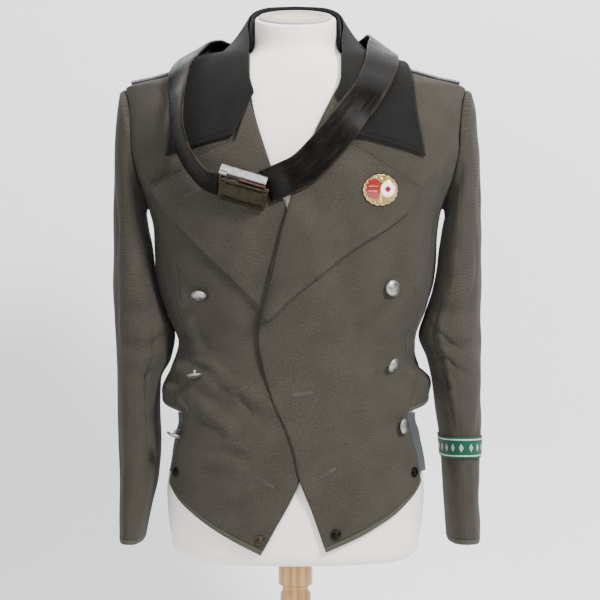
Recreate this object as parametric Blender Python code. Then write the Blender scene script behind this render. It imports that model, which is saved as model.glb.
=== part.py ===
"""A short double-breasted military tunic on a limbless dress form with a wooden stand.

Metres, +Z up. The origin is on the floor under the middle of the stand. The tunic faces -Y
and the wearer's left is +X, so the front that lies on top is the +X one. Every piece of cloth
is a wall on one shared body surface: a stack of squared ovals, one for each level in BODY.
"""

import math

import bmesh
import bpy
import numpy as np
from mathutils import Matrix, Vector

# Thicknesses and gaps
CLOTH = 0.0017
LAPEL_CLOTH = 0.0024
COLLAR_CLOTH = 0.0022
LINING_CLOTH = 0.0010
SEAM = 0.0003
LAYER = 0.0009

# The stand and the dress form
BASE_RADIUS = 0.150
BASE_HEIGHT = 0.022
POST_RADIUS = 0.0205
POST_RING_RADIUS = 0.023
FORM_BOTTOM = 0.215
FORM_TILT = 0.36
FORM_TOP = 0.942
FORM_STEPS = 28
# The form's bottom edge: rise above its bottom, share of the full size
FORM_BOTTOM_ROUNDING = ((0.0, 0.86), (0.006, 0.94), (0.020, 0.985))
FORM_LEVELS = (0.27, 0.33, 0.38, 0.44, 0.47, 0.505, 0.54, 0.60, 0.65, 0.69, 0.73, 0.77, 0.81,
               0.836, 0.848, 0.860, 0.872, 0.884, 0.893, 0.912)
# How far the form lies inside the cloth: height, distance
FORM_GAP = (
    (0.200, 0.0045), (0.300, 0.0045), (0.330, 0.0080), (0.360, 0.0150), (0.395, 0.0195),
    (0.440, 0.0190), (0.475, 0.0090), (0.505, 0.0050), (0.800, 0.0045), (0.845, 0.0026),
    (0.896, 0.0026), (0.910, 0.0), (1.000, 0.0),
)
CAP_HEIGHT = 0.0035
CAP_RADIUS = 0.0500
CAP_DISC_RADIUS = 0.0325

# The body, level by level
# Columns: height, half width, depth in front, depth behind, squareness
BODY = (
    (0.200, 0.170, 0.118, 0.112, 2.4),
    (0.330, 0.178, 0.122, 0.118, 2.4),
    (0.380, 0.177, 0.120, 0.114, 2.4),
    (0.440, 0.178, 0.114, 0.108, 2.4),
    (0.470, 0.166, 0.108, 0.102, 2.4),
    (0.505, 0.156, 0.104, 0.098, 2.4),
    (0.533, 0.167, 0.108, 0.101, 2.4),
    (0.565, 0.1795, 0.114, 0.106, 2.4),
    (0.600, 0.1870, 0.120, 0.110, 2.4),
    (0.650, 0.1890, 0.127, 0.116, 2.5),
    (0.690, 0.1970, 0.129, 0.120, 2.8),
    (0.722, 0.212, 0.127, 0.122, 3.1),
    (0.762, 0.2245, 0.121, 0.121, 3.2),
    (0.810, 0.2275, 0.107, 0.113, 3.0),
    (0.842, 0.2270, 0.092, 0.101, 2.6),
    (0.855, 0.183, 0.085, 0.094, 2.4),
    (0.868, 0.137, 0.078, 0.087, 2.3),
    (0.880, 0.096, 0.070, 0.079, 2.2),
    (0.892, 0.064, 0.061, 0.071, 2.1),
    (0.910, 0.0550, 0.054, 0.063, 2.0),
    (1.000, 0.0540, 0.053, 0.062, 2.0),
)
LEVELS = (0.460, 0.485, 0.510, 0.540, 0.575, 0.610, 0.645, 0.675, 0.700, 0.722, 0.745, 0.770,
          0.795, 0.818, 0.836, 0.848, 0.860, 0.872, 0.888)
ROWS_BELOW = 6

# The armhole is an upright oval seen from the side
ARMHOLE_MIDDLE = 0.7635
ARMHOLE_HALF_HEIGHT = 0.0785
ARMHOLE_HALF_DEPTH = 0.066
SEAM_MEETS_ARMHOLE = 0.722
SETTLING_ROUNDS = 6
FRONT_COLUMNS = 13
BACK_COLUMNS = 19
SIDE_COLUMNS = 6
ARMHOLE_ROUNDS = 8
SIDE_ROWS_STRAIGHT_TO = 0.645

# Seams and edges, as the turn round the body from the middle of the front
# Columns: height, degrees
SIDE_SEAM = ((0.320, 66.5), (0.336, 64.0), (0.360, 60.5), (0.388, 56.0), (0.403, 52.5), (0.430, 56.0),
             (0.460, 60.0), (0.510, 64.0), (0.560, 64.5), (0.620, 66.5), (0.660, 69.5),
             (0.690, 72.0), (0.722, 74.4), (0.900, 74.4))
BACK_SEAM = ((0.400, 112.0), (0.500, 112.0), (0.600, 110.0), (0.660, 108.0), (0.722, 105.6),
             (0.900, 105.6))

# Front edges, as x at each height
OVER_EDGE = ((0.2355, 0.0391), (0.284, 0.0224), (0.329, 0.0051), (0.366, -0.0032),
             (0.393, -0.0122), (0.433, -0.0301), (0.469, -0.0404), (0.509, -0.0468),
             (0.538, -0.0440), (0.675, -0.0109), (0.773, 0.0237), (0.820, 0.0460),
             (0.850, 0.0590), (0.900, 0.0600))
UNDER_EDGE = ((0.2317, -0.0442), (0.255, -0.0314), (0.329, 0.0058), (0.366, 0.0135),
              (0.393, 0.0220), (0.433, 0.0380), (0.469, 0.0450), (0.488, 0.0450),
              (0.675, -0.0109), (0.729, -0.0301), (0.820, -0.0560), (0.850, -0.0590),
              (0.900, -0.0600))

# Hems, as height at each share of the way from the front edge to the side
FRONT_HEM = ((0.0, 0.0), (0.25, 0.017), (0.5, 0.036), (0.75, 0.058), (0.92, 0.076), (1.0, 0.0875))
SIDE_HEM = ((0.0, 0.4140), (0.45, 0.4245), (0.8, 0.4340), (1.0, 0.436))
BACK_HEM_HEIGHT = 0.436

# How far the front on top stands off the body where it crosses what lies under it
OVER_LIFT = ((0.20, 0.0030), (0.44, 0.0034), (0.48, 0.0075), (0.66, 0.0075), (0.72, 0.0030),
             (0.76, 0.0), (0.95, 0.0))
LIFT_SLOPE = 0.035
# How far what lies under it reaches, as x at each height
UNDER_REACH = ((0.20, -0.030), (0.255, -0.020), (0.329, 0.015), (0.40, 0.032), (0.46, 0.053),
               (0.62, 0.020), (0.70, -0.010), (0.95, -0.010))

# Folds pressed or hanging in the cloth
# Columns: 1 behind or -1 in front, x from, z from, x to, z to, half width, height
FOLDS = (
    (-1, -0.150, 0.466, -0.030, 0.425, 0.018, 0.0065),
    (-1, -0.165, 0.440, -0.085, 0.392, 0.016, 0.0060),
    (-1, -0.105, 0.348, -0.030, 0.350, 0.018, 0.0030),
    (-1, -0.152, 0.550, -0.128, 0.495, 0.014, 0.0045),
    (-1, 0.172, 0.452, 0.120, 0.470, 0.020, 0.0060),
    (-1, 0.160, 0.575, 0.150, 0.500, 0.015, 0.0040),
    (1, -0.120, 0.545, -0.020, 0.520, 0.020, 0.0045),
    (1, 0.125, 0.535, 0.015, 0.495, 0.020, 0.0045),
    (1, -0.100, 0.480, 0.090, 0.465, 0.018, 0.0040),
    (1, -0.165, 0.700, -0.120, 0.600, 0.018, 0.0035),
    (1, 0.165, 0.700, 0.118, 0.600, 0.018, 0.0035),
)

# Lapels: where each row of the lapel leaves the roll line, and where it ends
# Columns: share of the way up, roll x, roll z, edge x, edge z
LEFT_LAPEL = (
    (0.00, -0.0415, 0.5380, -0.0330, 0.5365),
    (0.10, -0.0355, 0.5640, -0.0110, 0.5585),
    (0.55, -0.0090, 0.6780, 0.0700, 0.6210),
    (0.92, 0.0225, 0.7640, 0.1440, 0.6740),
    (1.00, 0.0470, 0.8180, 0.1600, 0.7030),
)
RIGHT_LAPEL = (
    (0.00, 0.0440, 0.4900, 0.0330, 0.4880),
    (0.10, 0.0355, 0.5180, 0.0050, 0.5050),
    (0.55, -0.0030, 0.6480, -0.0850, 0.5890),
    (0.92, -0.0385, 0.7530, -0.1700, 0.6800),
    (1.00, -0.0600, 0.8180, -0.1870, 0.7080),
)
LAPEL_ROWS_BELOW_GORGE = 10
LAPEL_ROWS_AT_GORGE = 5
LAPEL_STEPS_ACROSS = 8
LAPEL_BOW = 0.0055
LAPEL_FLAT_FROM = 0.12
LAPEL_FLATTENING = 0.8
GORGE_SHARE = 0.14
GORGE_DROP = 0.040
GORGE_FROM_ROW = 0.90

# The collar, from the middle of the back round to the front end, for the +X side
# Columns: share, then x, y, z of the fold, of the middle and of the outer edge
COLLAR = (
    (0.00, 0.0000, 0.0780, 0.966, 0.0000, 0.1005, 0.918, 0.0000, 0.1200, 0.866),
    (0.20, 0.0360, 0.0690, 0.963, 0.0460, 0.0925, 0.916, 0.0560, 0.1160, 0.866),
    (0.40, 0.0600, 0.0380, 0.951, 0.0860, 0.0580, 0.906, 0.1080, 0.0780, 0.870),
    (0.55, 0.0630, 0.0050, 0.933, 0.0980, 0.0160, 0.896, 0.1380, 0.0240, 0.876),
    (0.70, 0.0610, -0.0380, 0.903, 0.0980, -0.0430, 0.884, 0.1440, -0.0330, 0.864),
    (0.85, 0.0610, -0.0850, 0.862, 0.1020, -0.0950, 0.836, 0.1520, -0.0850, 0.805),
    (1.00, 0.0530, -0.1060, 0.828, 0.0790, -0.1265, 0.771, 0.1655, -0.1050, 0.745),
)
COLLAR_STEPS = 30
COLLAR_ROWS = 6
# How far the collar stands off the body at each share
COLLAR_LIFT = ((0.0, 0.0028), (0.4, 0.0028), (0.52, 0.0095), (0.72, 0.0095), (0.86, 0.0040),
               (1.0, 0.0050))
# From this share on the collar's edge bends to a corner
COLLAR_END_FROM = 0.90
STAND_END_SHARE = 0.66
STAND_BOTTOM = 0.8945
NECK_AXIS_Y = 0.010
STAND_THICKNESS = 0.0018
STAND_STEPS = 20

# Sleeves, ring by ring, as the inside of the tube
# Columns: outer x of the +X and of the -X sleeve, outer z, inner x of each, inner z, front y, back y
SLEEVE = (
    (0.2345, 0.2340, 0.8380, 0.2025, 0.2025, 0.6830, -0.069, 0.071),
    (0.2400, 0.2370, 0.8140, 0.2040, 0.2040, 0.6690, -0.071, 0.074),
    (0.2430, 0.2400, 0.7800, 0.2010, 0.2005, 0.6500, -0.074, 0.078),
    (0.2460, 0.2415, 0.7350, 0.1960, 0.1950, 0.6260, -0.075, 0.080),
    (0.2470, 0.2420, 0.6860, 0.1930, 0.1920, 0.6000, -0.075, 0.081),
    (0.2480, 0.2425, 0.6350, 0.1860, 0.1850, 0.5680, -0.074, 0.080),
    (0.2480, 0.2425, 0.5830, 0.1755, 0.1740, 0.5380, -0.072, 0.079),
    (0.2475, 0.2415, 0.5400, 0.1680, 0.1645, 0.5120, -0.071, 0.078),
    (0.2475, 0.2395, 0.4950, 0.1790, 0.1700, 0.4820, -0.070, 0.077),
    (0.2475, 0.2385, 0.4550, 0.1860, 0.1840, 0.4520, -0.069, 0.076),
    (0.2475, 0.2375, 0.4150, 0.1905, 0.1850, 0.4150, -0.068, 0.075),
    (0.2465, 0.2360, 0.3700, 0.1970, 0.1835, 0.3700, -0.067, 0.073),
    (0.2450, 0.2350, 0.3250, 0.2000, 0.1865, 0.3250, -0.066, 0.071),
    (0.2450, 0.2345, 0.2800, 0.2030, 0.1965, 0.2800, -0.065, 0.069),
    (0.2465, 0.2345, 0.2380, 0.2060, 0.2050, 0.2380, -0.064, 0.067),
)
SLEEVE_SQUARENESS = 2.3
SLEEVE_GAP = 0.0022
TOP_SLEEVE_STEPS = 11
UNDER_SLEEVE_STEPS = 9
FRONT_ARM_SEAM = 98.0
BACK_ARM_SEAM = -104.0
# Wrinkles at the elbow: height, half height, depth
ELBOW_WRINKLES = ((0.545, 0.016, 0.0035), (0.500, 0.014, 0.0045), (0.462, 0.016, 0.0040))

# Small parts
BUTTON_RADIUS = 0.0105
BUTTON_STEPS = 14
SNAP_STEPS = 12
# Each button: name, x, z, the way its face looks, shank, and how far it is pressed in
BUTTONS = (
    ("button_left_1", 0.1235, 0.5760, (0.52, -0.85, -0.05), 0.0030, 0.0004),
    ("button_left_2", 0.1195, 0.4740, (0.74, -0.53, -0.42), 0.0030, 0.0029),
    ("button_left_3", 0.1370, 0.3960, (0.83, -0.55, 0.0), 0.0032, 0.0004),
    ("button_right_1", -0.1210, 0.5690, (-0.16, -0.60, -0.78), 0.0030, 0.0009),
    ("button_right_2", -0.1220, 0.4640, (0.04, -0.22, -0.97), 0.0060, -0.0012),
    ("button_right_3", -0.1490, 0.3900, (-0.35, -0.10, -0.93), 0.0050, 0.0009),
)
# Each snap: name, side, x, z, radius
SNAPS = (
    ("snap_left_1", 1, 0.0520, 0.2590, 0.0070),
    ("snap_left_2", 1, 0.1540, 0.3350, 0.0065),
    ("snap_right_1", -1, -0.0450, 0.2515, 0.0065),
    ("snap_right_2", -1, -0.1545, 0.3350, 0.0060),
)
# The lining strip: height from, height to, and how many degrees past the front it ends there
LINING_HEIGHTS = (0.334, 0.404)
LINING_REACH = {1: (14.0, 8.0), -1: (4.5, 5.0)}
LINING_HIDDEN = 6.0
LINING_ROWS = 6
LINING_COLUMNS = 5
BOARD_LENGTH = 0.086
BOARD_WIDTH = 0.045
BOARD_THICKNESS = 0.0050
BOARD_OUTER_X = 0.2240
SHOULDER_HEIGHT = 0.870
BADGE_X = 0.1080
BADGE_Z = 0.7000
BADGE_HALF_WIDTH = 0.0235
BADGE_HALF_HEIGHT = 0.0205
BADGE_PROFILE = ((0.96, 0.0), (1.0, 0.0006), (1.0, 0.0018), (0.92, 0.0028))
BADGE_STEPS = 16
BADGE_OUT = 0.0003
BAND_TOP = 0.3800
BAND_BOTTOM = 0.3520
BAND_THICKNESS = 0.0010

# The belt's middle line, and the way its width runs, from the buckle round the neck and back
# Columns: x, y, z, then the width's direction
BELT = (
    (-0.0970, -0.1530, 0.7065, 0.05, -0.81, 0.59),
    (-0.112, -0.150, 0.7120, 0.20, -0.86, 0.45),
    (-0.130, -0.142, 0.7330, 0.30, -0.90, 0.30),
    (-0.145, -0.134, 0.7620, 0.36, -0.90, 0.22),
    (-0.151, -0.127, 0.7950, 0.41, -0.89, 0.20),
    (-0.151, -0.101, 0.8380, 0.55, -0.80, 0.27),
    (-0.1435, -0.0675, 0.8600, 0.75, -0.60, 0.27),
    (-0.1227, -0.030, 0.8810, 0.875, -0.10, 0.49),
    (-0.110, 0.015, 0.8830, 0.85, 0.00, 0.52),
    (-0.098, 0.045, 0.8860, 0.65, -0.15, 0.70),
    (-0.081, 0.070, 0.8880, 0.50, -0.30, 0.80),
    (-0.046, 0.106, 0.8870, 0.18, -0.30, 0.93),
    (0.000, 0.114, 0.8850, 0.00, -0.35, 0.94),
    (0.046, 0.106, 0.8870, -0.18, -0.30, 0.93),
    (0.081, 0.070, 0.8890, -0.50, -0.25, 0.82),
    (0.105, 0.020, 0.8900, -0.75, 0.00, 0.66),
    (0.113, -0.022, 0.8880, -0.84, 0.10, 0.54),
    (0.112, -0.062, 0.8680, -0.90, 0.20, 0.40),
    (0.098, -0.098, 0.8340, -0.92, 0.15, 0.32),
    (0.072, -0.118, 0.7970, -0.88, 0.05, 0.46),
    (0.040, -0.131, 0.7560, -0.80, 0.05, 0.60),
    (0.004, -0.136, 0.7220, -0.50, 0.06, 0.86),
    (-0.038, -0.136, 0.7040, -0.15, 0.04, 0.98),
)
BELT_WIDTH = 0.044
BELT_THICKNESS = 0.0032
BELT_STEPS = 64
BELT_SETTLING = 12
# The faces that the belt is settled on: samples each way, degrees round the chest, its heights
SAMPLES = 40
CHEST_TURN = 88.0
CHEST_HEIGHTS = (0.70, 0.86)
LAPEL_SAMPLED_FROM = 0.3
BELT_CLEARANCE = 0.0014
# Each plate: centre, width direction, thickness direction, and its width, thickness and height
BUCKLE_FACE = ((-0.066, -0.1532, 0.6953), (1.0, 0.0, -0.28), (0.0, -0.60, -0.80), (0.060, 0.004, 0.036))
BUCKLE_PLATE = ((-0.0650, -0.1630, 0.7180), (1.0, 0.0, -0.28), (0.0, -0.70, 0.70), (0.060, 0.002, 0.018))


def curve(table, key):
    """A table's other columns at a key of its first, on smooth curves that never overshoot a row."""
    rows = np.asarray(table, float)
    keys, values = rows[:, 0], rows[:, 1:]
    key = np.clip(np.asarray(key, float), keys[0], keys[-1])
    widths = np.diff(keys)[:, None]
    slopes = np.diff(values, axis=0) / widths
    before, after = slopes[:-1], slopes[1:]
    same_way = before * after > 0
    total = np.where(same_way, before + after, 1.0)
    inner = np.where(same_way, 2 * before * after / total, 0.0)
    tangents = np.vstack([slopes[:1], inner, slopes[-1:]])
    row = np.clip(np.searchsorted(keys, key, side="right") - 1, 0, len(keys) - 2)
    width = widths[row]
    t = (key - keys[row])[..., None] / width
    from_start = (1 + 2 * t) * (1 - t) ** 2 * values[row] + t * (1 - t) ** 2 * width * tangents[row]
    to_end = t**2 * (3 - 2 * t) * values[row + 1] + t**2 * (t - 1) * width * tangents[row + 1]
    return from_start + to_end


def value(table, key):
    return curve(table, key)[..., 0]


def ease(t):
    """0 below 0, 1 above 1, and a smooth step between."""
    t = np.clip(t, 0.0, 1.0)
    return t * t * (3 - 2 * t)


def section(height):
    return np.moveaxis(curve(BODY, height), -1, 0)


def level(points):
    """1 on the body surface, less inside it and more outside."""
    x, y, z = np.moveaxis(points, -1, 0)
    half, front, back, power = section(z)
    depth = np.where(y < 0, front, back)
    return (np.abs(x / half) ** power + np.abs(y / depth) ** power) ** (1 / power)


def off_body(points, step=1e-4):
    """Each point's straight-out direction, and how far off the body surface it is."""
    slope = np.stack(
        [(level(points + step * axis) - level(points - step * axis)) / (2 * step) for axis in np.eye(3)],
        axis=-1,
    )
    size = np.linalg.norm(slope, axis=-1)
    return slope / size[..., None], (level(points) - 1) / size


def settle(points, clearance):
    """Points moved straight out where they are nearer the body than the clearance."""
    for _ in range(SETTLING_ROUNDS):
        direction, gap = off_body(points)
        points = points + direction * np.maximum(clearance - gap, 0.0)[..., None]
    return points


def lay(points, height):
    """Points moved in or out until they are exactly this far off the body."""
    for _ in range(SETTLING_ROUNDS):
        direction, gap = off_body(points)
        points = points + direction * (height - gap)[..., None]
    return points


def fold_height(points):
    """How far the cloth's folds raise it at these points."""
    x, y, z = np.moveaxis(points, -1, 0)
    total = np.zeros_like(x)
    for side, x_from, z_from, x_to, z_to, half_width, height in FOLDS:
        run_x, run_z = x_to - x_from, z_to - z_from
        share = ((x - x_from) * run_x + (z - z_from) * run_z) / (run_x**2 + run_z**2)
        share = np.clip(share, 0, 1)
        distance = np.hypot(x - x_from - share * run_x, z - z_from - share * run_z)
        rise = height * np.cos(np.pi / 2 * np.minimum(distance / half_width, 1)) ** 2
        total = np.maximum(total, np.where(y * side > 0, rise, 0))
    return total


def ring(turn, height):
    """Points of the body surface at a turn from the middle of the front, in radians, and a height."""
    half, front, back, power = section(height)
    sine, cosine = np.sin(turn), np.cos(turn)
    x = half * np.sign(sine) * np.abs(sine) ** (2 / power)
    depth = np.where(cosine > 0, front, back)
    y = -depth * np.sign(cosine) * np.abs(cosine) ** (2 / power)
    return np.stack([x, y, height + 0 * x], axis=-1)


def turn_at(x, height):
    """The turn at which the front of the body reaches this x."""
    half, _, _, power = section(height)
    return np.arcsin(np.sign(x) * np.clip(np.abs(x) / half, 0, 1) ** (power / 2))


def cloth_points(turn, height, out):
    """Points of a cloth layer that is this far off the body, with the cloth's folds."""
    base = ring(turn, height)
    direction, _ = off_body(base)
    return base + direction * (out + fold_height(base))[..., None]


def over_lift(x, height):
    """How far the front on top stands off the body, over what lies under it."""
    beyond = ease((x - value(UNDER_REACH, height)) / LIFT_SLOPE)
    return value(OVER_LIFT, height) * (1 - beyond)


def armhole_turn(height, side_of_body):
    """The turn at which a level meets the armhole, in front (1) or behind (-1)."""
    rise = np.clip((height - ARMHOLE_MIDDLE) / ARMHOLE_HALF_HEIGHT, -1, 1)
    reach = ARMHOLE_HALF_DEPTH * np.sqrt(1 - rise**2)
    _, front, back, power = section(height)
    depth = front if side_of_body > 0 else back
    from_front = np.arccos(np.clip(reach / depth, 0, 1) ** (power / 2))
    return from_front if side_of_body > 0 else np.pi - from_front


def panel_limit(height, side_of_body):
    """The turn at which a front or the back ends: its side seam, the armhole, or the shoulder seam."""
    seam = np.radians(value(SIDE_SEAM if side_of_body > 0 else BACK_SEAM, height))
    armhole = armhole_turn(height, side_of_body)
    turn = np.where(height < SEAM_MEETS_ARMHOLE, seam, armhole)
    shoulder = np.pi / 2
    turn = np.where(height > ARMHOLE_MIDDLE + ARMHOLE_HALF_HEIGHT, shoulder, turn)
    half = section(height)[0]
    return turn - side_of_body * SEAM / half


def material(name, colour, roughness, metallic=0.0):
    made = bpy.data.materials.new(name)
    made.use_nodes = True
    shader = made.node_tree.nodes["Principled BSDF"]
    shader.inputs["Base Color"].default_value = (*colour, 1.0)
    shader.inputs["Roughness"].default_value = roughness
    shader.inputs["Metallic"].default_value = metallic
    return made


def add_object(name, mesh_builder, look):
    mesh = bpy.data.meshes.new(name)
    mesh_builder.to_mesh(mesh)
    mesh_builder.free()
    mesh.materials.append(look)
    mesh.shade_smooth()
    mesh.set_sharp_from_angle(angle=math.radians(40))
    made = bpy.data.objects.new(name, mesh)
    bpy.context.scene.collection.objects.link(made)
    return made


def grid_mesh(points, closed):
    """A bmesh of quads from rows that run upwards and columns that run right, seen from outside."""
    builder = bmesh.new()
    rows = [[builder.verts.new(point) for point in row] for row in points.tolist()]
    for low, high in zip(rows, rows[1:]):
        columns = list(range(len(low)))
        pairs = list(zip(columns, columns[1:]))
        if closed:
            pairs.append((columns[-1], columns[0]))
        for left, right in pairs:
            builder.faces.new((low[left], low[right], high[right], high[left]))
    return builder


def sheet(name, points, thickness, look, closed=False):
    """A wall on a grid of points, thickened outwards."""
    made = add_object(name, grid_mesh(points, closed), look)
    solidify = made.modifiers.new("wall", "SOLIDIFY")
    solidify.thickness = thickness
    solidify.offset = 1.0
    return made


def stack(name, rings, look):
    """A solid on rings of points from bottom to top, closed by flat ends."""
    builder = grid_mesh(rings, closed=True)
    builder.verts.ensure_lookup_table()
    count = rings.shape[1]
    builder.faces.new(builder.verts[:count][::-1])
    builder.faces.new(builder.verts[-count:])
    return add_object(name, builder, look)


def turned(name, profile, steps, look):
    """A turned solid: radius and height pairs, bottom to top, round the Z axis."""
    turns = np.linspace(0, 2 * np.pi, steps, endpoint=False)
    rings = np.array(
        [[(r * np.sin(t), -r * np.cos(t), z) for t in turns] for r, z in profile]
    )
    return stack(name, rings, look)


def panel_heights(hem, rows_below):
    """Heights of a panel's points: rows that rise from the hem, then rows at the common levels."""
    rise = np.linspace(0, 1, rows_below + 1)[:-1, None]
    low = hem[None, :] + rise * (LEVELS[0] - hem[None, :])
    high = np.repeat(np.array(LEVELS)[:, None], len(hem), axis=1)
    return np.vstack([low, high])


def front(name, side, edge, look):
    """One front, from its slanting edge to the side seam. side is 1 on the wearer's left."""
    share = np.linspace(0, 1, FRONT_COLUMNS)
    hem = edge[0][0] + value(FRONT_HEM, share)
    heights = panel_heights(hem, ROWS_BELOW)
    edge_turn = turn_at(value(edge, heights), heights)
    limit = panel_limit(heights, 1)
    turn = side * (edge_turn + share[None, :] * (limit - edge_turn))
    if side > 0:
        x = ring(turn, heights)[..., 0]
        points = cloth_points(turn, heights, over_lift(x, heights))
    else:
        points = cloth_points(turn, heights, np.zeros_like(turn))[:, ::-1]
    return sheet(name, points, CLOTH, look)


def back(name, look):
    """The back, in one piece from side seam to side seam."""
    share = np.linspace(0, 1, BACK_COLUMNS)
    heights = panel_heights(np.full(BACK_COLUMNS, BACK_HEM_HEIGHT), 1)
    limit = panel_limit(heights, -1)
    turn = limit + share[None, :] * (2 * np.pi - 2 * limit)
    return sheet(name, cloth_points(turn, heights, np.zeros_like(turn)), CLOTH, look)


def side_panel(name, side, look):
    """The piece between a front and the back, from the raised hem to the armhole."""
    share = np.linspace(0, 1, SIDE_COLUMNS)
    hem = value(SIDE_HEM, share)
    top = np.full(SIDE_COLUMNS, SEAM_MEETS_ARMHOLE)
    for _ in range(ARMHOLE_ROUNDS):
        in_front = np.radians(value(SIDE_SEAM, top))
        behind = np.radians(value(BACK_SEAM, top))
        y = ring(in_front + share * (behind - in_front), top)[..., 1]
        drop = np.sqrt(1 - np.clip(y / ARMHOLE_HALF_DEPTH, -1, 1) ** 2)
        top = ARMHOLE_MIDDLE - ARMHOLE_HALF_HEIGHT * drop
    straight = [height for height in LEVELS if height <= SIDE_ROWS_STRAIGHT_TO]
    to_armhole = [height for height in LEVELS if SIDE_ROWS_STRAIGHT_TO < height <= SEAM_MEETS_ARMHOLE]
    rise = [(height - straight[-1]) / (SEAM_MEETS_ARMHOLE - straight[-1]) for height in to_armhole]
    heights = np.array([
        hem, (hem + straight[0]) / 2, *(np.full(SIDE_COLUMNS, height) for height in straight),
        *(straight[-1] + share_up * (top - straight[-1]) for share_up in rise),
    ])
    half = section(heights)[0]
    in_front = np.radians(value(SIDE_SEAM, heights)) + SEAM / half
    behind = np.radians(value(BACK_SEAM, heights)) - SEAM / half
    turn = side * (in_front + share[None, :] * (behind - in_front))
    points = cloth_points(turn, heights, np.zeros_like(turn))
    return sheet(name, points if side > 0 else points[:, ::-1], CLOTH, look)


def squared(angle, squareness):
    """Cosine and sine of a squared oval."""
    cosine, sine = np.cos(angle), np.sin(angle)
    power = 2 / squareness
    return np.sign(cosine) * np.abs(cosine) ** power, np.sign(sine) * np.abs(sine) ** power


def sleeve_points(row, angle, side):
    """Points inside the sleeve's wall. Angle 0 is outermost, 90 degrees in front; row may be a fraction."""
    keyed = [(index, *entry) for index, entry in enumerate(SLEEVE)]
    outer_left, outer_right, outer_z, inner_left, inner_right, inner_z, front_y, back_y = np.moveaxis(
        curve(keyed, row), -1, 0
    )
    outer_x = outer_left if side > 0 else outer_right
    inner_x = inner_left if side > 0 else inner_right
    cosine, sine = squared(angle, SLEEVE_SQUARENESS)
    x = (outer_x + inner_x) / 2 + (outer_x - inner_x) / 2 * cosine
    z = (outer_z + inner_z) / 2 + (outer_z - inner_z) / 2 * cosine
    y = np.where(sine > 0, front_y * sine, -back_y * sine)
    wrinkle = np.zeros_like(z)
    for height, half_height, depth in ELBOW_WRINKLES:
        wrinkle += depth * np.cos(np.pi / 2 * np.minimum(np.abs(z - height) / half_height, 1)) ** 2
    y += wrinkle * np.maximum(sine, 0)
    return np.stack([side * x, y, z], axis=-1)


def armhole_points(angle, side):
    """The first ring of a sleeve, just outside the armhole's edge."""
    y = -ARMHOLE_HALF_DEPTH * np.sin(angle)
    z = ARMHOLE_MIDDLE + ARMHOLE_HALF_HEIGHT * np.cos(angle)
    half, front, back, power = section(z)
    depth = np.where(y < 0, front, back)
    x = half * (1 - np.abs(y / depth) ** power) ** (1 / power)
    return lay(np.stack([side * x, y, z], axis=-1), np.full(angle.shape, CLOTH + SLEEVE_GAP))


SLEEVE_ROWS = np.array([0, 1, 2, 3, 4, 5, 6, 6.5, 7, 7.5, 8, 8.5, 9, 9.5, 10, 11, 12, 13, 14])


def sleeve_grid(angles, side):
    """Rows from the cuff up to the armhole, columns from front to back on the +X side."""
    below = [sleeve_points(np.full(angles.shape, row), angles, side) for row in SLEEVE_ROWS[::-1]]
    points = np.array([*below, armhole_points(angles, side)])
    return points if side > 0 else points[:, ::-1]


def arm_angles(start, end, steps):
    """Angles from one arm seam to the next, a half gap short of each."""
    half_gap = math.degrees(SEAM / 0.05)
    return np.radians(np.linspace(start - half_gap, end + half_gap, steps))


def sleeve(name, side, look):
    """A two-piece sleeve, open at the cuff and at the armhole."""
    top = arm_angles(FRONT_ARM_SEAM, BACK_ARM_SEAM, TOP_SLEEVE_STEPS + 1)
    under = arm_angles(BACK_ARM_SEAM, FRONT_ARM_SEAM - 360, UNDER_SLEEVE_STEPS + 1)
    sheet("sleeve_top_" + name, sleeve_grid(top, side), CLOTH, look)
    sheet("sleeve_under_" + name, sleeve_grid(under, side), CLOTH, look)


def cuff_band(look):
    """The narrow band sewn round the wearer's left sleeve."""
    top = arm_angles(FRONT_ARM_SEAM, BACK_ARM_SEAM, TOP_SLEEVE_STEPS + 1)
    under = arm_angles(BACK_ARM_SEAM, FRONT_ARM_SEAM - 360, UNDER_SLEEVE_STEPS + 1)
    angles = np.concatenate([top, under])
    rows = []
    for height in (BAND_BOTTOM, BAND_TOP):
        index = np.interp(height, [entry[2] for entry in SLEEVE[::-1]], np.arange(len(SLEEVE))[::-1])
        points = sleeve_points(np.full(angles.shape, index), angles, 1)
        along = np.roll(points, -1, axis=0) - np.roll(points, 1, axis=0)
        away = np.stack([along[:, 1], -along[:, 0], 0 * along[:, 0]], axis=1)
        away /= np.linalg.norm(away, axis=1)[:, None]
        rows.append(points + away * (CLOTH + LAYER))
    return sheet("cuff_band", np.array(rows), BAND_THICKNESS, look, closed=True)


def lapel_points(side, table, x_share, row_share):
    """Points of a lapel on the front of the body."""
    roll_x, roll_z, edge_x, edge_z = np.moveaxis(curve(table, row_share), -1, 0)
    x = roll_x + x_share * (edge_x - roll_x)
    z = roll_z + x_share * (edge_z - roll_z)
    towards_gorge = np.minimum(x_share / GORGE_SHARE, (1 - x_share) / (1 - GORGE_SHARE))
    z = z - GORGE_DROP * towards_gorge * ease((row_share - GORGE_FROM_ROW) / (1 - GORGE_FROM_ROW))
    beyond = np.maximum(np.abs(x) - LAPEL_FLAT_FROM, 0)
    base = ring(turn_at(np.sign(x) * (np.abs(x) - (1 - LAPEL_FLATTENING) * beyond), z), z)
    direction, _ = off_body(base)
    base[..., 0] = x
    return base + direction * lapel_extra(side, x, z, x_share)[..., None]


def lapel_extra(side, x, z, x_share):
    """How far a lapel's inner face lies off the body. Its bow fades where the other front covers it."""
    bow = LAPEL_BOW * np.sin(np.pi * np.clip(x_share, 0, 1)) ** 0.8
    below = CLOTH + LAYER
    if side > 0:
        return below + over_lift(x, z) + bow
    uncovered = ease((value(OVER_EDGE, z) - 0.018 - x) / 0.035)
    return below + bow * uncovered


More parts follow.
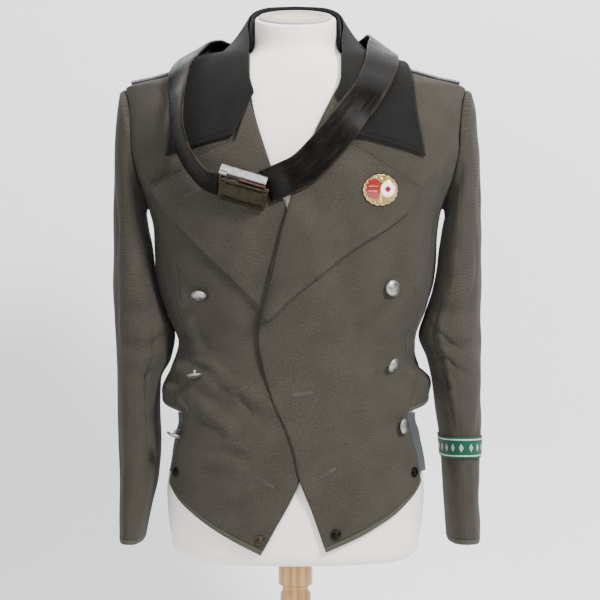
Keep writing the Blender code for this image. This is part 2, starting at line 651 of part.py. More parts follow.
def lapel_grid(side, table, rows, steps):
    """A lapel's inner face, from its point of crossing up to the gorge."""
    across, along = np.meshgrid(np.linspace(0, 1, steps + 1), rows)
    points = lapel_points(side, table, across, along)
    return points if side > 0 else points[:, ::-1]


def lapel(name, side, table, look):
    """A lapel turned back from its roll line and lying on its front."""
    rows = np.concatenate([
        np.linspace(0, GORGE_FROM_ROW, LAPEL_ROWS_BELOW_GORGE, endpoint=False),
        np.linspace(GORGE_FROM_ROW, 1, LAPEL_ROWS_AT_GORGE),
    ])
    return sheet(name, lapel_grid(side, table, rows, LAPEL_STEPS_ACROSS), LAPEL_CLOTH, look)


def collar_points(share, across):
    """Points of the collar's fall. share runs from -1 to 1 round the neck, across from fold to edge."""
    keyed = curve(COLLAR, np.abs(share))
    fold, middle, edge = keyed[..., 0:3], keyed[..., 3:6], keyed[..., 6:9]
    r = across[..., None]
    bowed = fold * 2 * (r - 0.5) * (r - 1) + middle * 4 * r * (1 - r) + edge * 2 * r * (r - 0.5)
    bent = np.where(r < 0.5, fold + (middle - fold) * 2 * r, middle + (edge - middle) * (2 * r - 1))
    to_end = ease((np.abs(share) - COLLAR_END_FROM) / (1 - COLLAR_END_FROM))[..., None]
    points = bowed + (bent - bowed) * to_end
    points[..., 0] *= np.where(share < 0, -1.0, 1.0)
    return settle(points, value(COLLAR_LIFT, np.abs(share)))


def collar(look):
    """The fall of the collar, from one front end round the neck to the other."""
    share, across = np.meshgrid(
        np.linspace(1, -1, COLLAR_STEPS + 1), np.linspace(1, 0, COLLAR_ROWS + 1)
    )
    return sheet("collar", collar_points(share, across), COLLAR_CLOTH, look)


def collar_stand(look):
    """The upright band inside the fold, standing on the neckline."""
    share = np.linspace(STAND_END_SHARE, -STAND_END_SHARE, STAND_STEPS + 1)
    fold = curve(COLLAR, np.abs(share))[:, 0:3]
    fold[:, 0] *= np.where(share < 0, -1.0, 1.0)
    inward = np.array([0.0, NECK_AXIS_Y, 0.0]) - fold
    inward[:, 2] = 0
    inward /= np.linalg.norm(inward, axis=1)[:, None]
    top = fold + inward * (STAND_THICKNESS + LAYER)
    bottom = top.copy()
    bottom[:, 2] = STAND_BOTTOM
    rise = np.linspace(0, 1, 4)[:, None, None]
    points = settle(bottom + rise * (top - bottom), np.full((4, len(share)), LAYER))
    return sheet("collar_stand", points, STAND_THICKNESS, look)


def belt_frames(steps):
    """Middle points, width directions and normals along the belt."""
    keyed = [(index, *entry) for index, entry in enumerate(BELT)]
    along = np.linspace(0, len(BELT) - 1, steps + 1)
    values = curve(keyed, along)
    middle, width = values[:, 0:3], values[:, 3:6]
    tangent = np.gradient(middle, axis=0)
    tangent /= np.linalg.norm(tangent, axis=1)[:, None]
    width = width - tangent * (width * tangent).sum(axis=1)[:, None]
    width /= np.linalg.norm(width, axis=1)[:, None]
    return middle, width, np.cross(tangent, width)


def outer_face(grid, thickness):
    """A wall's outer face as points and the directions straight out of it."""
    out = np.cross(np.gradient(grid, axis=1), np.gradient(grid, axis=0)).reshape(-1, 3)
    out /= np.linalg.norm(out, axis=1)[:, None]
    return grid.reshape(-1, 3) + out * thickness, out


def faces_below_belt():
    """The outer faces of the collar, the fronts, the lapels and the shoulder boards."""
    share, across = np.meshgrid(
        np.linspace(1, -1, 4 * SAMPLES + 1), np.linspace(1, 0, SAMPLES // 2 + 1)
    )
    turn, height = np.meshgrid(
        np.radians(np.linspace(-CHEST_TURN, CHEST_TURN, 2 * SAMPLES + 1)),
        np.linspace(*CHEST_HEIGHTS, SAMPLES + 1),
    )
    rows = np.linspace(LAPEL_SAMPLED_FROM, 1, SAMPLES + 1)
    faces = [
        outer_face(collar_points(share, across), COLLAR_CLOTH),
        outer_face(cloth_points(turn, height, np.zeros_like(turn)), CLOTH),
        outer_face(lapel_grid(1, LEFT_LAPEL, rows, SAMPLES), LAPEL_CLOTH),
        outer_face(lapel_grid(-1, RIGHT_LAPEL, rows, SAMPLES), LAPEL_CLOTH),
        *(outer_face(board_grid(side), BOARD_THICKNESS) for side in (1, -1)),
    ]
    return np.concatenate([points for points, _ in faces]), np.concatenate([out for _, out in faces])


def push_off(points, faces, clearance):
    """How far each point must move, and which way, to clear the faces by this much."""
    face_points, out = faces
    flat = points.reshape(-1, 3)
    distance = np.linalg.norm(flat[:, None, :] - face_points[None, :, :], axis=2)
    nearest = distance.argmin(axis=1)
    gap = ((flat - face_points[nearest]) * out[nearest]).sum(axis=1)
    beside = distance[np.arange(len(flat)), nearest] > np.abs(gap) + 0.004
    push = np.where(beside, 0.0, np.maximum(clearance - gap, 0.0))
    return (out[nearest] * push[:, None]).reshape(points.shape), push.reshape(points.shape[:-1])


def belt(look):
    """The leather belt as it lies round the collar, from one end of its buckle to the other."""
    middle, width, normal = belt_frames(BELT_STEPS)
    across = np.linspace(-0.5, 0.5, 5)[None, :, None] * BELT_WIDTH
    faces = faces_below_belt()
    for _ in range(BELT_SETTLING):
        tested = middle[:, None, :] + across * width[:, None, :]
        move, push = push_off(tested, faces, BELT_THICKNESS / 2 + BELT_CLEARANCE)
        step = move[np.arange(len(middle)), push.argmax(axis=1)]
        spread = np.pad(step, ((1, 1), (0, 0)), mode="edge")
        middle = middle + (spread[:-2] + 2 * spread[1:-1] + spread[2:]) / 4
    corners = ((1, -1), (1, 1), (-1, 1), (-1, -1))
    rings = np.stack(
        [middle + width * a * BELT_WIDTH / 2 + normal * b * BELT_THICKNESS / 2 for a, b in corners],
        axis=1,
    )
    return stack("belt", rings, look)


def slab(name, centre, right, out, size, look):
    """A bevelled plate. right and out are its own width and thickness directions."""
    right = np.array(right) / np.linalg.norm(right)
    out = np.array(out) - right * np.dot(out, right)
    out /= np.linalg.norm(out)
    up = np.cross(right, out)
    builder = bmesh.new()
    bmesh.ops.create_cube(builder, size=1.0)
    for vertex in builder.verts:
        x, y, z = vertex.co * 1.0
        vertex.co = centre + right * x * size[0] + out * y * size[1] + up * z * size[2]
    made = add_object(name, builder, look)
    bevel = made.modifiers.new("edges", "BEVEL")
    bevel.width = 0.0008
    bevel.segments = 1
    return made


def buckle(steel, dark_metal):
    """The belt's box buckle, its face turned down and its hook plate turned up to the front."""
    slab("buckle_face", *BUCKLE_FACE, dark_metal)
    slab("buckle_plate", *BUCKLE_PLATE, steel)


def placed(made, point, out):
    """Moves a turned piece to its place, its axis along the direction."""
    rotation = Vector(out).to_track_quat("Z", "Y").to_matrix().to_4x4()
    made.matrix_world = Matrix.Translation(Vector(point)) @ rotation
    return made


def front_spot(side, x, z, out):
    """A point this far out from the outer face of a front, and the direction straight out there."""
    base = ring(turn_at(np.array(x), np.array(z)), np.array(z))
    direction, _ = off_body(base)
    lift = over_lift(x, np.array(z)) if side > 0 else 0.0
    return base + direction * (CLOTH + fold_height(base) + lift + out), direction


def button(name, x, z, facing, lift, pressed, look):
    """A domed button with its shank, standing on the cloth."""
    shank_radius, rim = 0.0018, 0.0009
    profile = (
        (shank_radius, 0.0), (shank_radius, lift), (BUTTON_RADIUS * 0.94, lift),
        (BUTTON_RADIUS, lift + rim), (BUTTON_RADIUS * 0.80, lift + 0.0028),
        (BUTTON_RADIUS * 0.45, lift + 0.0042), (BUTTON_RADIUS * 0.12, lift + 0.0046),
    )
    side = 1 if x > 0 else -1
    point, out = front_spot(side, x, z, 2 * SEAM - pressed)
    tilt = Vector(out).angle(Vector(facing))
    rim_below = max(0.0, BUTTON_RADIUS * math.sin(tilt) - lift * math.cos(tilt))
    return placed(turned(name, profile, BUTTON_STEPS, look), point + out * rim_below, facing)


def snap(name, side, x, z, radius, look):
    """One press stud, flat on the cloth near the hem."""
    profile = (
        (radius * 0.9, 0.0), (radius, 0.0008), (radius * 0.8, 0.0022), (radius * 0.35, 0.0030),
    )
    return placed(turned(name, profile, SNAP_STEPS, look), *front_spot(side, x, z, 2 * SEAM))


def board_grid(side):
    """The under face of a shoulder board, its inner end under the collar."""
    x = side * np.linspace(BOARD_OUTER_X - BOARD_LENGTH, BOARD_OUTER_X, 8)
    y = np.linspace(-BOARD_WIDTH / 2, BOARD_WIDTH / 2, 4)
    across, behind = np.meshgrid(x[::side], y)
    guess = np.stack([across, behind, np.full(across.shape, SHOULDER_HEIGHT)], axis=-1)
    return lay(guess, np.full(across.shape, CLOTH + LAYER))


def badge(look):
    """The small enamel badge pinned on the wearer's left lapel."""
    rows = np.linspace(0, 1, 2 * SAMPLES + 1)
    points, out = outer_face(lapel_grid(1, LEFT_LAPEL, rows, 2 * SAMPLES), LAPEL_CLOTH)
    spot = np.hypot(points[:, 0] - BADGE_X, points[:, 2] - BADGE_Z).argmin()
    turns = np.linspace(0, 2 * np.pi, BADGE_STEPS, endpoint=False)
    rings = np.array([
        [(BADGE_HALF_WIDTH * k * np.sin(t), -BADGE_HALF_HEIGHT * k * np.cos(t), z) for t in turns]
        for k, z in BADGE_PROFILE
    ])
    return placed(stack("badge", rings, look), points[spot] + out[spot] * BADGE_OUT, out[spot])


def lining_strip(name, side, look):
    """The edge of the lining that shows beside the lower end of a front."""
    heights = np.repeat(np.linspace(*LINING_HEIGHTS, LINING_ROWS)[:, None], LINING_COLUMNS, axis=1)
    edge = np.degrees(panel_limit(heights, 1))
    reach = np.linspace(*LINING_REACH[side], LINING_ROWS)[:, None]
    share = np.linspace(0, 1, LINING_COLUMNS)[None, :]
    turn = np.radians(edge - LINING_HIDDEN + share * (LINING_HIDDEN + reach)) * side
    points = cloth_points(turn, heights, np.full(turn.shape, -LINING_CLOTH - LAYER))
    return sheet(name, points if side > 0 else points[:, ::-1], LINING_CLOTH, look)


def dress_form(look):
    """The padded torso: the body surface, drawn in, with a rounded bottom and a slanting top."""
    turns = np.linspace(0, 2 * np.pi, FORM_STEPS, endpoint=False)
    bottom = [(FORM_BOTTOM + rise, share) for rise, share in FORM_BOTTOM_ROUNDING]
    rings = []
    for height, share in (*bottom, *((height, 1.0) for height in FORM_LEVELS)):
        base = ring(turns, np.full(FORM_STEPS, height))
        direction, _ = off_body(base)
        points = (base - direction * value(FORM_GAP, height)) * (share, share, 1)
        if share < 1:
            points[:, 2] = height
        rings.append(points)
    top = ring(turns, np.full(FORM_STEPS, FORM_TOP))
    top[:, 2] += FORM_TILT * top[:, 1]
    return stack("dress_form", np.array([*rings, top]), look)


def neck_cap(look):
    """The turned cap that closes the form's neck."""
    profile = (
        (CAP_RADIUS, 0.0), (CAP_RADIUS, CAP_HEIGHT), (CAP_DISC_RADIUS + 0.001, CAP_HEIGHT),
        (CAP_DISC_RADIUS, CAP_HEIGHT - 0.0012),
    )
    made = turned("neck_cap", profile, 24, look)
    slope = math.atan(FORM_TILT)
    lean = Matrix.Rotation(slope, 4, "X")
    made.matrix_world = Matrix.Translation((0, 0.0045, FORM_TOP + 0.0045 * FORM_TILT + SEAM * 1.2)) @ lean
    return made


def stand(look):
    """The wooden post and its round base."""
    top = FORM_BOTTOM - SEAM
    post = (
        (0.030, BASE_HEIGHT + SEAM), (0.030, 0.030), (0.024, 0.040), (POST_RADIUS, 0.048),
        (POST_RADIUS, 0.166), (0.0175, 0.169), (0.0175, 0.174), (POST_RING_RADIUS, 0.177),
        (POST_RING_RADIUS, top),
    )
    turned("post", post, 24, look)
    base = (
        (BASE_RADIUS - 0.003, 0.0), (BASE_RADIUS, 0.003), (BASE_RADIUS, 0.013),
        (BASE_RADIUS - 0.006, BASE_HEIGHT - 0.002), (BASE_RADIUS - 0.012, BASE_HEIGHT),
    )
    turned("base", base, 40, look)


def build():
    for old in list(bpy.data.objects):
        bpy.data.objects.remove(old)

    wool = material("stone grey wool", (0.105, 0.095, 0.080), 0.9)
    dark_wool = material("charcoal wool", (0.024, 0.024, 0.023), 0.9)
    lining = material("blue grey lining", (0.060, 0.066, 0.078), 0.7)
    leather = material("black brown leather", (0.020, 0.014, 0.011), 0.45)
    silver = material("silver metal", (0.60, 0.59, 0.57), 0.35, 1.0)
    steel = material("grey steel", (0.45, 0.45, 0.45), 0.4, 1.0)
    dark_metal = material("dark brass", (0.10, 0.085, 0.050), 0.5, 1.0)
    cord = material("silver cord", (0.42, 0.42, 0.40), 0.6)
    green = material("green ribbon", (0.010, 0.160, 0.060), 0.8)
    enamel = material("enamel", (0.55, 0.30, 0.10), 0.3, 0.6)
    canvas = material("cream canvas", (0.80, 0.76, 0.68), 0.85)
    wood = material("pale wood", (0.58, 0.38, 0.19), 0.5)
    cap = material("pale cap", (0.74, 0.70, 0.55), 0.6)

    stand(wood)
    dress_form(canvas)
    neck_cap(cap)
    front("front_left", 1, OVER_EDGE, wool)
    front("front_right", -1, tuple((z, -x) for z, x in UNDER_EDGE), wool)
    back("back", wool)
    for name, side in (("left", 1), ("right", -1)):
        side_panel("side_" + name, side, wool)
        sleeve(name, side, wool)
        lining_strip("lining_" + name, side, lining)
        sheet("board_" + name, board_grid(side), BOARD_THICKNESS, cord)
    lapel("lapel_left", 1, LEFT_LAPEL, wool)
    lapel("lapel_right", -1, RIGHT_LAPEL, wool)
    collar(dark_wool)
    collar_stand(dark_wool)
    for entry in BUTTONS:
        button(*entry, silver)
    for entry in SNAPS:
        snap(*entry, dark_metal)
    cuff_band(green)
    badge(enamel)
    belt(leather)
    buckle(steel, dark_metal)


build()
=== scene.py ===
"""The military tunic as it looks: wool, leather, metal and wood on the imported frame.

Metres, +Z up, in the frame of the CAD model. The body surface, the edges and the routes are the
same as in the part's source, and the cloth here lies on them with a finer grid and its creases.
"""

import math

import bmesh
import bpy
import numpy as np
from mathutils import Matrix, Vector


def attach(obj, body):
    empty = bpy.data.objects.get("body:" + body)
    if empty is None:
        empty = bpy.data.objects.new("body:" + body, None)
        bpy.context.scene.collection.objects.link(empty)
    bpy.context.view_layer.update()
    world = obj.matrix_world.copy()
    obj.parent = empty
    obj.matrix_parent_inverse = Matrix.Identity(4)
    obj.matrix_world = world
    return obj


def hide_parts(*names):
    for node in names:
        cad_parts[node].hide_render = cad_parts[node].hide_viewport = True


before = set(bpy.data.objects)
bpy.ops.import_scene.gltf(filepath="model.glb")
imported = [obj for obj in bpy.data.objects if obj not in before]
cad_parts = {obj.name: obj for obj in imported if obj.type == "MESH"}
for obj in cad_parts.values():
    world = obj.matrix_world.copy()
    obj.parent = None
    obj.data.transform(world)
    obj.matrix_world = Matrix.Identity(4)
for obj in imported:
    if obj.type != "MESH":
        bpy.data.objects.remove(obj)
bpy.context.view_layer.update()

CLOTH = 0.0017
LAPEL_CLOTH = 0.0024
COLLAR_CLOTH = 0.0022
LINING_CLOTH = 0.0010
SEAM = 0.0003
LAYER = 0.0009
HEM_BAND = 0.0070
HEM_RISE = 0.00035

BASE_RADIUS = 0.150
BASE_HEIGHT = 0.022
POST_RADIUS = 0.0205
POST_RING_RADIUS = 0.023
FORM_BOTTOM = 0.215
FORM_TILT = 0.335
FORM_TOP = 0.9395
# How far the form lies inside the cloth: height, distance
FORM_GAP = (
    (0.200, 0.0045), (0.300, 0.0045), (0.330, 0.0080), (0.360, 0.0150), (0.395, 0.0195),
    (0.440, 0.0190), (0.475, 0.0090), (0.505, 0.0050), (0.800, 0.0045), (0.845, 0.0026),
    (0.896, 0.0026), (0.910, 0.0), (1.000, 0.0),
)

# The body: height, half width, depth in front, depth behind, squareness
BODY = (
    (0.200, 0.170, 0.118, 0.112, 2.4),
    (0.330, 0.178, 0.122, 0.118, 2.4),
    (0.380, 0.177, 0.120, 0.114, 2.4),
    (0.440, 0.178, 0.114, 0.108, 2.4),
    (0.470, 0.166, 0.108, 0.102, 2.4),
    (0.505, 0.156, 0.104, 0.098, 2.4),
    (0.533, 0.167, 0.108, 0.101, 2.4),
    (0.565, 0.1795, 0.114, 0.106, 2.4),
    (0.600, 0.1870, 0.120, 0.110, 2.4),
    (0.650, 0.1890, 0.127, 0.116, 2.5),
    (0.690, 0.1970, 0.129, 0.120, 2.8),
    (0.722, 0.212, 0.127, 0.122, 3.1),
    (0.762, 0.2245, 0.121, 0.121, 3.2),
    (0.810, 0.2275, 0.107, 0.113, 3.0),
    (0.842, 0.2270, 0.092, 0.101, 2.6),
    (0.855, 0.183, 0.085, 0.094, 2.4),
    (0.868, 0.137, 0.078, 0.087, 2.3),
    (0.880, 0.096, 0.070, 0.079, 2.2),
    (0.892, 0.064, 0.061, 0.071, 2.1),
    (0.910, 0.0550, 0.054, 0.063, 2.0),
    (1.000, 0.0540, 0.053, 0.062, 2.0),
)
HEM_TO_WAIST = 0.460
SHOULDER_STARTS = 0.830
NECK_LEVEL = 0.888
ARMHOLE_MIDDLE = 0.7635
ARMHOLE_HALF_HEIGHT = 0.0785
ARMHOLE_HALF_DEPTH = 0.066
SEAM_MEETS_ARMHOLE = 0.722
SIDE_ROWS_STRAIGHT_TO = 0.645

# Seams as height and degrees from the middle of the front, edges as height and x
SIDE_SEAM = ((0.320, 66.5), (0.336, 64.0), (0.360, 60.5), (0.388, 56.0), (0.403, 52.5), (0.430, 56.0),
             (0.460, 60.0), (0.510, 64.0), (0.560, 64.5), (0.620, 66.5), (0.660, 69.5),
             (0.690, 72.0), (0.722, 74.4), (0.900, 74.4))
BACK_SEAM = ((0.400, 112.0), (0.500, 112.0), (0.600, 110.0), (0.660, 108.0), (0.722, 105.6),
             (0.900, 105.6))
OVER_EDGE = ((0.2355, 0.0391), (0.284, 0.0224), (0.329, 0.0051), (0.366, -0.0032),
             (0.393, -0.0122), (0.433, -0.0301), (0.469, -0.0404), (0.509, -0.0468),
             (0.538, -0.0440), (0.675, -0.0109), (0.773, 0.0237), (0.820, 0.0460),
             (0.850, 0.0590), (0.900, 0.0600))
UNDER_EDGE = ((0.2317, -0.0442), (0.255, -0.0314), (0.329, 0.0058), (0.366, 0.0135),
              (0.393, 0.0220), (0.433, 0.0380), (0.469, 0.0450), (0.488, 0.0450),
              (0.675, -0.0109), (0.729, -0.0301), (0.820, -0.0560), (0.850, -0.0590),
              (0.900, -0.0600))
FRONT_HEM = ((0.0, 0.0), (0.25, 0.017), (0.5, 0.036), (0.75, 0.058), (0.92, 0.076), (1.0, 0.0875))
SIDE_HEM = ((0.0, 0.4140), (0.45, 0.4245), (0.8, 0.4340), (1.0, 0.436))
BACK_HEM_HEIGHT = 0.436
OVER_LIFT = ((0.20, 0.0030), (0.44, 0.0034), (0.48, 0.0075), (0.66, 0.0075), (0.72, 0.0030),
             (0.76, 0.0), (0.95, 0.0))
LIFT_SLOPE = 0.035
UNDER_REACH = ((0.20, -0.030), (0.255, -0.020), (0.329, 0.015), (0.40, 0.032), (0.46, 0.053),
               (0.62, 0.020), (0.70, -0.010), (0.95, -0.010))

# Large folds: 1 behind or -1 in front, x from, z from, x to, z to, half width, height
FOLDS = (
    (-1, -0.150, 0.466, -0.030, 0.425, 0.018, 0.0065),
    (-1, -0.165, 0.440, -0.085, 0.392, 0.016, 0.0060),
    (-1, -0.105, 0.348, -0.030, 0.350, 0.018, 0.0030),
    (-1, -0.152, 0.550, -0.128, 0.495, 0.014, 0.0045),
    (-1, 0.172, 0.452, 0.120, 0.470, 0.020, 0.0060),
    (-1, 0.160, 0.575, 0.150, 0.500, 0.015, 0.0040),
    (1, -0.120, 0.545, -0.020, 0.520, 0.020, 0.0045),
    (1, 0.125, 0.535, 0.015, 0.495, 0.020, 0.0045),
    (1, -0.100, 0.480, 0.090, 0.465, 0.018, 0.0040),
    (1, -0.165, 0.700, -0.120, 0.600, 0.018, 0.0035),
    (1, 0.165, 0.700, 0.118, 0.600, 0.018, 0.0035),
)

# Creases on the fronts: height (below 0 is a trough), half width, then points as x and z
FRONT_CREASES = (
    (-0.0054, 0.0055, (
        (-0.1260, 0.4680), (-0.1163, 0.4641), (-0.0917, 0.4428), (-0.0721, 0.4362), (-0.0506, 0.4116),
    )),
    (0.0046, 0.0085, (
        (-0.1400, 0.4830), (-0.1080, 0.4750), (-0.0850, 0.4560), (-0.0650, 0.4480), (-0.0450, 0.4280),
    )),
    (-0.0038, 0.0050, ((-0.1490, 0.4336), (-0.1392, 0.4266), (-0.1340, 0.4180))),
    (-0.0042, 0.0075, ((-0.1327, 0.4166), (-0.1179, 0.4035), (-0.1016, 0.3971), (-0.0853, 0.3839))),
    (0.0040, 0.0090, ((-0.1460, 0.4480), (-0.1280, 0.4330), (-0.1120, 0.4190), (-0.0900, 0.4080))),
    (-0.0036, 0.0075, (
        (-0.1150, 0.3600), (-0.0950, 0.3625), (-0.0754, 0.3593), (-0.0558, 0.3497), (-0.0230, 0.3528),
    )),
    (0.0028, 0.0100, ((-0.1120, 0.3780), (-0.0800, 0.3760), (-0.0500, 0.3660))),
    (-0.0034, 0.0050, ((-0.1470, 0.5300), (-0.1400, 0.5140), (-0.1290, 0.5060))),
    (-0.0035, 0.0070, (
        (-0.1748, 0.5780), (-0.1600, 0.5480), (-0.1490, 0.5187), (-0.1361, 0.5045), (-0.1335, 0.4890),
    )),
    (0.0026, 0.0100, ((-0.1560, 0.5900), (-0.1440, 0.5500), (-0.1300, 0.5150))),
    (-0.0032, 0.0130, ((0.1430, 0.4860), (0.1560, 0.4760), (0.1680, 0.4640))),
    (-0.0022, 0.0110, ((0.1300, 0.4560), (0.1480, 0.4440), (0.1600, 0.4300))),
    (0.0022, 0.0120, ((0.1180, 0.4720), (0.1400, 0.4660), (0.1600, 0.4520))),
    (-0.0022, 0.0090, ((0.1500, 0.5700), (0.1460, 0.5300), (0.1400, 0.5000))),
    (-0.0021, 0.0140, ((0.0600, 0.3900), (0.0900, 0.4100), (0.1300, 0.4180))),
    (0.0021, 0.0160, ((0.0300, 0.4500), (0.0700, 0.4700), (0.1100, 0.4760))),
    (-0.0019, 0.0120, ((-0.0700, 0.5000), (-0.0950, 0.4900), (-0.1200, 0.4930))),
    (-0.0019, 0.0016, ((0.1520, 0.6100), (0.1535, 0.5800), (0.1530, 0.5500))),
    (-0.0022, 0.0016, ((-0.1560, 0.6250), (-0.1520, 0.5950), (-0.1480, 0.5600))),
    (-0.0022, 0.0120, ((-0.1950, 0.7600), (-0.1800, 0.7100), (-0.1700, 0.6600))),
    (-0.0019, 0.0120, ((0.2000, 0.7600), (0.1880, 0.7100), (0.1780, 0.6600))),
)
BACK_CREASES = (
    (-0.0032, 0.0080, ((-0.1500, 0.5350), (-0.1100, 0.5200), (-0.0600, 0.5150))),
    (-0.0029, 0.0080, ((0.1480, 0.5250), (0.1050, 0.5080), (0.0500, 0.5050))),
    (0.0029, 0.0100, ((-0.1300, 0.5050), (-0.0700, 0.4980), (0.0000, 0.4950))),
    (-0.0029, 0.0090, ((-0.1100, 0.4850), (-0.0300, 0.4800), (0.0500, 0.4850))),
    (0.0026, 0.0100, ((0.0300, 0.5300), (0.0900, 0.5250), (0.1350, 0.5400))),
    (-0.0024, 0.0110, ((-0.1700, 0.7200), (-0.1500, 0.6600), (-0.1400, 0.6100))),
    (-0.0024, 0.0110, ((0.1720, 0.7150), (0.1500, 0.6600), (0.1380, 0.6050))),
    (-0.0019, 0.0120, ((-0.0500, 0.8300), (-0.0300, 0.7900), (-0.0350, 0.7400))),
    (-0.0021, 0.0016, ((0.0000, 0.8700), (0.0000, 0.6500), (0.0000, 0.4400))),
)

# Lapels: share of the way up, roll x, roll z, edge x, edge z
LEFT_LAPEL = (
    (0.00, -0.0415, 0.5380, -0.0330, 0.5365),
    (0.10, -0.0355, 0.5640, -0.0110, 0.5585),
    (0.55, -0.0090, 0.6780, 0.0700, 0.6210),
    (0.92, 0.0225, 0.7640, 0.1440, 0.6740),
    (1.00, 0.0470, 0.8180, 0.1600, 0.7030),
)
RIGHT_LAPEL = (
    (0.00, 0.0440, 0.4900, 0.0330, 0.4880),
    (0.10, 0.0355, 0.5180, 0.0050, 0.5050),
    (0.55, -0.0030, 0.6480, -0.0850, 0.5890),
    (0.92, -0.0385, 0.7530, -0.1700, 0.6800),
    (1.00, -0.0600, 0.8180, -0.1870, 0.7080),
)
LAPEL_BOW = 0.0055
GORGE_SHARE = 0.14
GORGE_DROP = 0.040
GORGE_FROM_ROW = 0.90

# Collar: share, then x, y, z of the fold, of the middle and of the outer edge
COLLAR = (
    (0.00, 0.0000, 0.0780, 0.969, 0.0000, 0.1005, 0.918, 0.0000, 0.1200, 0.866),
    (0.20, 0.0360, 0.0690, 0.966, 0.0460, 0.0925, 0.916, 0.0560, 0.1160, 0.866),
    (0.40, 0.0600, 0.0380, 0.951, 0.0860, 0.0580, 0.906, 0.1080, 0.0780, 0.870),
    (0.55, 0.0630, 0.0050, 0.933, 0.0980, 0.0160, 0.896, 0.1380, 0.0240, 0.876),
    (0.70, 0.0610, -0.0380, 0.903, 0.0980, -0.0430, 0.884, 0.1440, -0.0330, 0.864),
    (0.85, 0.0610, -0.0850, 0.862, 0.1020, -0.0950, 0.836, 0.1520, -0.0850, 0.805),
    (1.00, 0.0530, -0.1060, 0.828, 0.0790, -0.1265, 0.771, 0.1655, -0.1050, 0.745),
)
COLLAR_LIFT = ((0.0, 0.0028), (0.4, 0.0028), (0.52, 0.0095), (0.72, 0.0095), (0.86, 0.0040),
               (1.0, 0.0050))
# From this share on the collar's edge bends to a corner
COLLAR_END_FROM = 0.90
COLLAR_SMOOTHING = 14
STAND_END_SHARE = 0.66
STAND_BOTTOM = 0.8945
STAND_THICKNESS = 0.0018

# Sleeves: outer x of the +X and of the -X sleeve, outer z, inner x of each, inner z, front y, back y
SLEEVE = (
    (0.2345, 0.2340, 0.8380, 0.2025, 0.2025, 0.6830, -0.069, 0.071),
    (0.2400, 0.2370, 0.8140, 0.2040, 0.2040, 0.6690, -0.071, 0.074),
    (0.2430, 0.2400, 0.7800, 0.2010, 0.2005, 0.6500, -0.074, 0.078),
    (0.2460, 0.2415, 0.7350, 0.1960, 0.1950, 0.6260, -0.075, 0.080),
    (0.2470, 0.2420, 0.6860, 0.1930, 0.1920, 0.6000, -0.075, 0.081),
    (0.2480, 0.2425, 0.6350, 0.1860, 0.1850, 0.5680, -0.074, 0.080),
    (0.2480, 0.2425, 0.5830, 0.1755, 0.1740, 0.5380, -0.072, 0.079),
    (0.2475, 0.2415, 0.5400, 0.1680, 0.1645, 0.5120, -0.071, 0.078),
    (0.2475, 0.2395, 0.4950, 0.1790, 0.1700, 0.4820, -0.070, 0.077),
    (0.2475, 0.2385, 0.4550, 0.1860, 0.1840, 0.4520, -0.069, 0.076),
    (0.2475, 0.2375, 0.4150, 0.1905, 0.1850, 0.4150, -0.068, 0.075),
    (0.2465, 0.2360, 0.3700, 0.1970, 0.1835, 0.3700, -0.067, 0.073),
    (0.2450, 0.2350, 0.3250, 0.2000, 0.1865, 0.3250, -0.066, 0.071),
    (0.2450, 0.2345, 0.2800, 0.2030, 0.1965, 0.2800, -0.065, 0.069),
    (0.2465, 0.2345, 0.2380, 0.2060, 0.2050, 0.2380, -0.064, 0.067),
)
SLEEVE_SQUARENESS = 2.3
SLEEVE_GAP = 0.0008
FRONT_ARM_SEAM = 98.0
BACK_ARM_SEAM = -104.0
ELBOW_WRINKLES = ((0.545, 0.016, 0.0035), (0.500, 0.014, 0.0045), (0.462, 0.016, 0.0040))

# Creases on the sleeves: height, half width, then points as degrees round from the outside and z
SLEEVE_CREASES = {
    1: (
        (-0.0040, 0.0065, ((124, 0.552), (129, 0.515), (131, 0.481), (120, 0.4365), (112, 0.395))),
        (0.0026, 0.0080, ((112, 0.545), (114, 0.500), (112, 0.460), (102, 0.420))),
        (-0.0030, 0.0065, ((150, 0.532), (118, 0.520), (92, 0.500), (74, 0.488))),
        (0.0022, 0.0080, ((146, 0.510), (116, 0.498), (96, 0.484))),
        (-0.0026, 0.0065, ((150, 0.478), (120, 0.488), (94, 0.470), (70, 0.462))),
        (-0.0020, 0.0070, ((140, 0.455), (112, 0.446), (86, 0.452))),
        (0.0018, 0.0080, ((130, 0.440), (104, 0.432), (80, 0.438))),
        (-0.0016, 0.0100, ((60, 0.640), (50, 0.600), (62, 0.560))),
        (-0.0014, 0.0110, ((30, 0.760), (44, 0.700), (40, 0.650))),
        (-0.0014, 0.0100, ((40, 0.420), (60, 0.360), (52, 0.310))),
        (-0.0018, 0.0090, ((-60, 0.540), (-90, 0.520), (-120, 0.510))),
        (-0.0016, 0.0090, ((-70, 0.490), (-100, 0.480), (-130, 0.486))),
        (-0.0014, 0.0110, ((-50, 0.700), (-66, 0.640), (-60, 0.600))),
    ),
    -1: (
        (-0.0034, 0.0060, ((104, 0.560), (110, 0.510), (116, 0.460), (120, 0.410), (119, 0.350))),
        (0.0020, 0.0090, ((88, 0.520), (94, 0.460), (98, 0.400), (96, 0.340))),
        (-0.0026, 0.0075, ((146, 0.520), (116, 0.506), (90, 0.492), (66, 0.486))),
        (0.0020, 0.0085, ((140, 0.500), (112, 0.488), (88, 0.476))),
        (-0.0020, 0.0080, ((140, 0.470), (112, 0.460), (84, 0.452))),
        (-0.0016, 0.0110, ((36, 0.720), (54, 0.660), (48, 0.610))),
        (-0.0014, 0.0110, ((46, 0.600), (36, 0.540), (46, 0.480))),
        (-0.0014, 0.0110, ((30, 0.400), (48, 0.350), (40, 0.300))),
        (-0.0018, 0.0090, ((-60, 0.530), (-90, 0.512), (-120, 0.500))),
        (-0.0016, 0.0100, ((-70, 0.480), (-104, 0.470), (-130, 0.474))),
        (-0.0014, 0.0110, ((-50, 0.690), (-66, 0.630), (-60, 0.590))),
    ),
}
